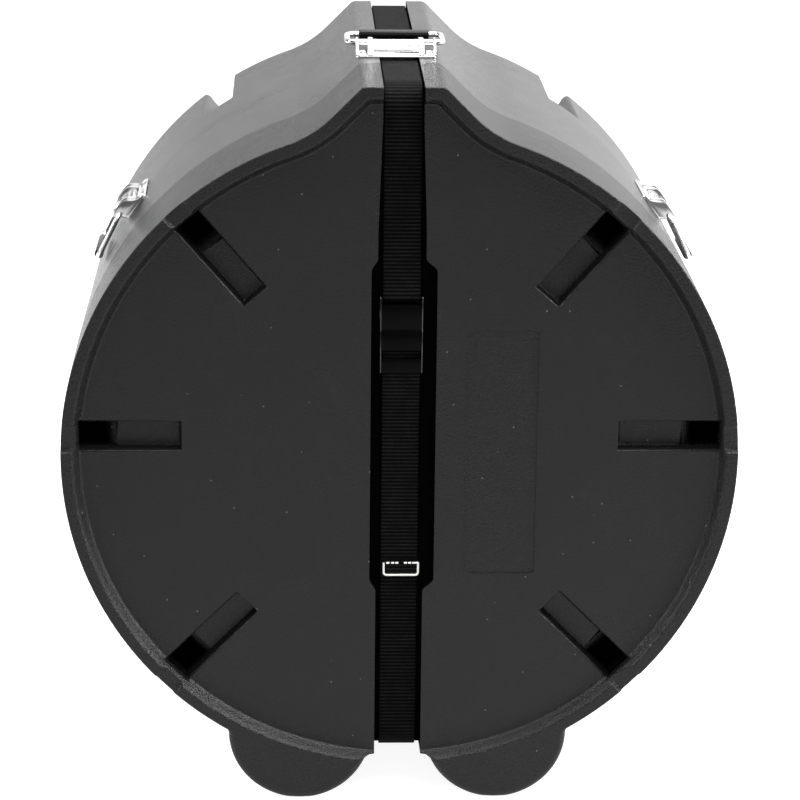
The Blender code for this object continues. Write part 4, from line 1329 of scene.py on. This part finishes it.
def shell_finish():
    """Pebbled dark plastic with sparse bright specks, and painted shade in the strap channel, the
    buckle pocket and the slot pits.
    """
    look, tones = start_finish("moulded_plastic")
    cloud = look.noise(14.0, 3.0)
    grain = look.noise(900.0, 2.0, 0.6)
    pebble = look.node("ShaderNodeTexVoronoi", {"feature": "SMOOTH_F1"},
                       {"Vector": look.place(), "Scale": 520.0, "Smoothness": 0.8})
    cell = look.node("ShaderNodeTexVoronoi", {"feature": "F1"},
                     {"Vector": look.place(), "Scale": 130.0})
    chosen = look.node("ShaderNodeSeparateColor",
                       inputs={"Color": cell.also("Color")}).above(0.94)
    speck = (1.0 - cell.above(0.11)) * chosen
    base = look.mix((cloud - 0.3) * 1.4, solid(tones.shell, 0.86), solid(tones.shell, 1.18))
    base = look.mix(((grain - 0.45) * 2.4).clamp(), base, solid(tones.shell, 2.6))
    base = look.mix(speck * 0.7, base, solid(tones.speck))
    rough = 0.24 + (grain - 0.5) * 0.2 + (cloud - 0.5) * 0.12
    height = pebble * 0.6 + grain * 0.6 + speck * 0.8
    normal = look.bump(height, 0.0009, 0.9)
    plastic = look.principled(Base_Color=base, Roughness=rough, Normal=normal, IOR=1.5,
                              Specular_IOR_Level=0.36)
    # Dull near-black diffuse that is mixed in as painted shade
    painted_shade_black = look.node("ShaderNodeBsdfDiffuse", inputs={"Color": solid(tones.shell, 0.2)})
    case = sizes("case")
    across, depth, rise = look.axes()
    height = rise - case.centre_height
    lid = ((parting + 0.003 - depth) / 0.006).clamp()
    narrowing = ((height - case.narrow_start)
                 / (case.narrow_end - case.narrow_start)).clamp()
    slimming = case.channel_half - case.channel_narrow
    trough = 1.0 - (abs(across) + narrowing * slimming).above(case.channel_half + 0.0002)
    pocket = 1.0 - abs(across - case.pocket_shift).above(case.pocket_half + 0.0002)
    pocket = pocket * depth.above(front + case.face_recess + 0.001)
    pocket = pocket * (1.0 - height.above(case.pocket_top + 0.001))
    pocket = pocket * height.above(case.pocket_bottom - 0.001)
    pit = 1.0 - (across * across + height * height).above(0.332 ** 2)
    pit = pit * depth.above(front + 0.036)
    # Painted shade: the dull black fully covers the strap channel, the buckle pocket and the slot
    # pits, where shade falls; the whole lid half is also mixed 0.24 of the way towards it, which
    # makes it evenly darker and more matte
    painted_shade_and_darker_lid = (trough + (pocket + pit) * (1.0 - depth.above(parting)) + lid * 0.24).clamp()
    return look.cover(look.blend(painted_shade_and_darker_lid, plastic, painted_shade_black))


def webbing_finish():
    """Ribbed webbing: rows of weft across the strap, broken by warp threads, coloured lighter on
    the rib crests as painted highlight.
    """
    look, tones = start_finish("webbing")
    spot = look.node("ShaderNodeUVMap", {"uv_map": "along"})
    across = look.node("ShaderNodeSeparateXYZ", inputs={"Vector": spot})
    along = across.also(1)
    rib_pitch, warp_pitch, fine_pitch, row_shift = 0.0039, 0.0034, 0.0009, 0.0017
    row = look.sum("FLOOR", along / rib_pitch, 0.0)
    rib, warp, fine = (
        look.sum("SINE", run * (math.tau / pitch), 0.0) * 0.5 + 0.5 for run, pitch in
        ((along, rib_pitch), (across + row * row_shift, warp_pitch), (across, fine_pitch)))
    broken = look.noise(420.0, 2.0)
    wear = look.noise(60.0, 2.0)
    height = rib * 0.8 + warp * 0.35 + fine * 0.15 + broken * 0.5
    # Partly painted light: the colour is lighter on the rib crests and darker between the ribs, as
    # painted highlight and shade; the noise adds random tone and wear
    lift = ((rib - 0.35) * 0.9 * (broken * 0.9 + 0.3) + (wear - 0.5) * 0.5).clamp()
    base = look.mix(lift, solid(tones.webbing, 0.25), solid(tones.webbing, 4.5))
    return look.cover(look.principled(
        Base_Color=base, Roughness=0.62 + (broken - 0.5) * 0.3,
        Normal=look.bump(height, 0.0005, 0.8), Specular_IOR_Level=0.03))


def thread_finish():
    """Twisted white sewing thread, a little soiled."""
    look, tones = start_finish("thread")
    strand = look.node("ShaderNodeTexWave", {"wave_type": "BANDS", "bands_direction":
                                             "DIAGONAL"},
                       {"Vector": look.place(), "Scale": 260.0, "Distortion": 2.0,
                        "Detail": 1.0})
    soil = look.noise(300.0, 2.0)
    base = look.mix(soil * 0.5, solid(tones.thread), solid(tones.thread, 0.72))
    return look.cover(look.principled(Base_Color=base, Roughness=0.7 + (soil - 0.5) * 0.2,
                                      Normal=look.bump(strand, 0.0002, 0.8)))


def buckle_finish():
    """Glossy black plastic with faint handling marks."""
    look, tones = start_finish("buckle_plastic")
    marks = look.noise(260.0, 3.0, 0.6)
    cloud = look.noise(40.0, 2.0)
    base = look.mix((cloud - 0.35).clamp(), solid(tones.buckle), solid(tones.buckle, 2.0))
    rough = 0.12 + marks * 0.08 + (cloud - 0.5) * 0.04
    normal = look.bump(marks, 0.00006, 0.4)
    matt, shiny = (look.principled(Base_Color=base, Roughness=rough, Normal=normal, IOR=1.5,
                                   Specular_IOR_Level=level) for level in (0.04, 0.7))
    size = sizes("buckle")
    edge = abs(look.axes()[0]).above(size.half - size.glint)
    return look.cover(look.blend(edge, matt, shiny))


def chrome_finish():
    """Bright plated steel with faint haze."""
    look, tones = start_finish("chrome")
    haze = look.noise(90.0, 3.0, 0.6)
    fine = look.noise(900.0, 2.0)
    base = look.mix((haze - 0.3).clamp() * 0.5, solid(tones.chrome),
                    solid(tones.chrome, 0.86))
    rough = 0.07 + haze * 0.08 + (fine - 0.5) * 0.04
    return look.cover(look.principled(Base_Color=base, Roughness=rough, Metallic=1.0,
                                      Normal=look.bump(haze, 0.00008, 0.3)))


def sleeve_finish():
    """Smooth dark sleeve with a slight sheen."""
    look, tones = start_finish("grip_sleeve")
    cloud = look.noise(120.0, 3.0)
    fine = look.noise(1400.0, 2.0)
    base = look.mix((cloud - 0.4).clamp(), solid(tones.sleeve), solid(tones.sleeve, 2.2))
    rough = 0.24 + (cloud - 0.5) * 0.16 + (fine - 0.5) * 0.08
    return look.cover(look.principled(Base_Color=base, Roughness=rough, IOR=1.5,
                                      Specular_IOR_Level=0.2,
                                      Normal=look.bump(fine, 0.00005, 0.4)))


def floor_finish():
    """White studio floor that keeps the shadow and reads as white to the camera."""
    look, tones = start_finish("studio_floor")
    path = look.node("ShaderNodeLightPath")
    behind = ((look.axes()[1] + 0.6) / 0.8).clamp() * 0.85 + 0.15
    seen = (path + path.also("Is Glossy Ray") * behind
            + path.also("Is Transmission Ray")).clamp()
    paint = look.node("ShaderNodeBsdfDiffuse", inputs={"Color": solid(tones.floor)})
    glow = look.node("ShaderNodeEmission", inputs={"Color": white, "Strength": seen * 0.92})
    return look.cover(look.node("ShaderNodeAddShader", inputs={0: paint, 1: glow}))


finishes = {}


def finish_named(name, make):
    """Each finish is made once."""
    if name not in finishes:
        finishes[name] = make()
    return finishes[name]


# Operators

class AddShells(bpy.types.Operator):
    """Build the lid and the base of the case"""
    bl_idname = "drum_case.add_shells"
    bl_label = "Moulded shells"

    def execute(self, context):
        finish = finish_named("shell", shell_finish)
        dress(make_lid(), finish, "lid", "shell_plastic", "front_shell")
        dress(make_base(), finish, "base", "shell_plastic", "rear_shell")
        return {"FINISHED"}


class AddWebbing(bpy.types.Operator):
    """Lay the webbing in its channel and stitch its end"""
    bl_idname = "drum_case.add_webbing"
    bl_label = "Webbing"

    def execute(self, context):
        finish = finish_named("webbing", webbing_finish)
        pieces = make_webbing()
        dress(pieces["upper"], finish, "lid", "webbing", "strap_lid_upper")
        dress(pieces["rear"], finish, "base", "webbing", "strap_rear")
        dress(pieces["lower"], finish, "", "webbing", "strap_lid_lower")
        dress(pieces["tab"], finish, "", "webbing", "strap_end_tab")
        dress(pieces["thread"], finish_named("thread", thread_finish), "", "webbing")
        depth = strap_lines()["tab"]
        for word in ("lower", "tab", "thread"):
            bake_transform(pieces[word])
        return {"FINISHED"}


class AddBuckle(bpy.types.Operator):
    """Build the socket, the plug and its two catches"""
    bl_idname = "drum_case.add_buckle"
    bl_label = "Side release buckle"

    def execute(self, context):
        finish = finish_named("buckle", buckle_finish)
        dress(make_socket(), finish, "lid", "buckle_plastic", "buckle_socket")
        dress(make_plug(), finish, "plug", "buckle_plastic", "buckle_plug")
        right = make_prong()
        left = twin(right, "prong_left", Matrix.Scale(-1.0, 4, (1.0, 0.0, 0.0)))
        dress(right, finish, "prong_right", "buckle_plastic", "buckle_prong_right")
        dress(left, finish, "prong_left", "buckle_plastic", "buckle_prong_left")
        return {"FINISHED"}


class AddHandles(bpy.types.Operator):
    """Build the three folding handles with their rivets"""
    bl_idname = "drum_case.add_handles"
    bl_label = "Folding handles"

    def execute(self, context):
        size = sizes("handle")
        chrome = finish_named("chrome", chrome_finish)
        sleeve_look = finish_named("sleeve", sleeve_finish)
        plate, wire, sleeve = make_handle_base(), make_wire(), make_sleeve()
        for word, place in handle_frames().items():
            rise = size.grip_rise if word == "top" else size.side_grip_rise
            swing = place @ bail_frame(rise)
            dress(twin(plate, "plate_" + word, place), chrome, "base", "chrome",
                  "handle_base_" + word)
            dress(twin(wire, "bail_" + word, swing), chrome, "bail_" + word, "chrome",
                  "handle_bail_" + word)
            dress(twin(sleeve, "sleeve_" + word, swing), sleeve_look, "bail_" + word,
                  "grip_sleeve", "handle_grip_" + word)
            for index, (across, along) in enumerate(rivet_places()):
                rivet = make_rivet(wall_inside(word, along) - seat_gap)
                label = word + "_" + str(index + 1)
                spot = place @ Matrix.Translation((across, along, 0.0))
                dress(twin(rivet, "stud_" + label, spot), chrome, "base", "chrome",
                      "rivet_" + label)
                bpy.data.objects.remove(rivet, do_unlink=True)
        for pattern in (plate, wire, sleeve):
            bpy.data.objects.remove(pattern, do_unlink=True)
        return {"FINISHED"}


# Soft lamps: place, aim, width, height and power in watts
lamps = {"lamp_over": ((0.3, -0.1, 3.0), (0.2, 0.0, 0.5), 2.8, 3.2, 210.0),
         "lamp_right": ((2.6, 0.6, 1.9), (0.0, 0.0, 0.5), 1.8, 1.8, 42.0),
         "lamp_strip": ((2.5, -0.7, 1.7), (0.0, -0.25, 0.4), 0.7, 2.2, 95.0),
         "lamp_left": ((-2.4, -0.7, 1.5), (0.0, -0.25, 0.4), 0.5, 1.8, 42.0),
         "lamp_face": ((0.2, -3.4, 1.9), (0.0, 0.0, 0.4), 2.2, 1.6, 12.0)}

# Camera that sees the case as the photograph does
camera_lens = 131.22
camera_place = (-0.10693, -3.0792, 1.27865)
camera_right = (0.99935, -0.03440, 0.01045)
camera_up = (-0.00014, 0.28695, 0.95794)


class AddStudio(bpy.types.Operator):
    """Set up the floor, the soft lights and the camera"""
    bl_idname = "drum_case.add_studio"
    bl_label = "Studio"

    def execute(self, context):
        put_down()
        bpy.ops.mesh.primitive_circle_add(vertices=96, radius=14.0, fill_type="NGON",
                                          location=(0.0, 4.0, 0.0))
        floor = settle(named("studio_floor"))
        floor.data.materials.append(finish_named("floor", floor_finish))
        for name, setting in lamps.items():
            lamp(name, *setting)
        sky(context.scene)
        add_camera(context.scene)
        context.scene.view_settings.view_transform = "Standard"
        return {"FINISHED"}


def lamp(name, place, aim, width, tall, power):
    """Soft rectangular lamp that looks at a point."""
    data = bpy.data.lights.new(name, "AREA")
    data.shape = "RECTANGLE"
    data.size, data.size_y = width, tall
    data.energy = power
    item = bpy.data.objects.new(name, data)
    bpy.context.scene.collection.objects.link(item)
    item.location = place
    item.rotation_euler = (Vector(aim) - Vector(place)).to_track_quat("-Z", "Y").to_euler()
    return item


def sky(scene):
    """World that shows white to the camera, metal and glass and lights gently."""
    look = Finish(bpy.data.worlds.new("studio"))
    scene.world = look.owner
    path = look.node("ShaderNodeLightPath")
    across = look.node("ShaderNodeSeparateXYZ",
                       inputs={0: look.node("ShaderNodeTexCoord", output="Generated")})
    behind = look.node("ShaderNodeMapRange", inputs={
        "Value": across.also("Y"), "From Min": -0.5, "From Max": 0.5, "To Min": 0.12,
        "To Max": 1.0})
    soft, mirrored_sky, shown = (
        look.node("ShaderNodeBackground", inputs={"Color": white, "Strength": strength})
        for strength in (0.42, (across * 0.98 + 1.155) * behind, 1.0))
    gloss = look.blend(path.also("Is Glossy Ray"), soft, mirrored_sky)
    seen = (path + path.also("Is Transmission Ray")).clamp()
    look.node("ShaderNodeOutputWorld", inputs={"Surface": look.blend(seen, gloss, shown)})


def add_camera(scene):
    """Camera at the photograph's viewing angle."""
    data = bpy.data.cameras.new("camera")
    data.lens = camera_lens
    data.sensor_width = 36.0
    item = bpy.data.objects.new("camera", data)
    scene.collection.objects.link(item)
    right, up = Vector(camera_right).normalized(), Vector(camera_up).normalized()
    turn = Matrix((right, up, right.cross(up))).transposed().to_4x4()
    item.matrix_world = Matrix.Translation(camera_place) @ turn
    scene.camera = item


class DrumCasePanel(bpy.types.Panel):
    """Lists the pieces of the drum case"""
    bl_idname = "VIEW3D_PT_drum_case"
    bl_label = "Drum case"
    bl_space_type = "VIEW_3D"
    bl_region_type = "UI"
    bl_category = "Drum case"

    def draw(self, context):
        for step in steps:
            self.layout.operator(step.bl_idname)
        for group in groups:
            column = self.layout.column(heading=group)
            for key in groups[group].__annotations__:
                column.prop(getattr(context.scene, group), key)


steps = (AddShells, AddWebbing, AddBuckle, AddHandles, AddStudio)
groups = {"case_sizes": CaseSizes, "slot_sizes": SlotSizes, "strap_sizes": StrapSizes,
          "buckle_sizes": BuckleSizes, "handle_sizes": HandleSizes,
          "case_colours": CaseColours}


def register():
    for group, kind in groups.items():
        bpy.utils.register_class(kind)
        setattr(bpy.types.Scene, group, PointerProperty(type=kind))
    for kind in (*steps, DrumCasePanel):
        bpy.utils.register_class(kind)


def unregister():
    for kind in (DrumCasePanel, *reversed(steps)):
        bpy.utils.unregister_class(kind)
    for group, kind in reversed(groups.items()):
        delattr(bpy.types.Scene, group)
        bpy.utils.unregister_class(kind)


def main():
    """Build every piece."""
    register()
    bpy.ops.drum_case.add_shells()
    bpy.ops.drum_case.add_webbing()
    bpy.ops.drum_case.add_buckle()
    bpy.ops.drum_case.add_handles()
    bpy.ops.drum_case.add_studio()


if __name__ == "__main__":
    main()
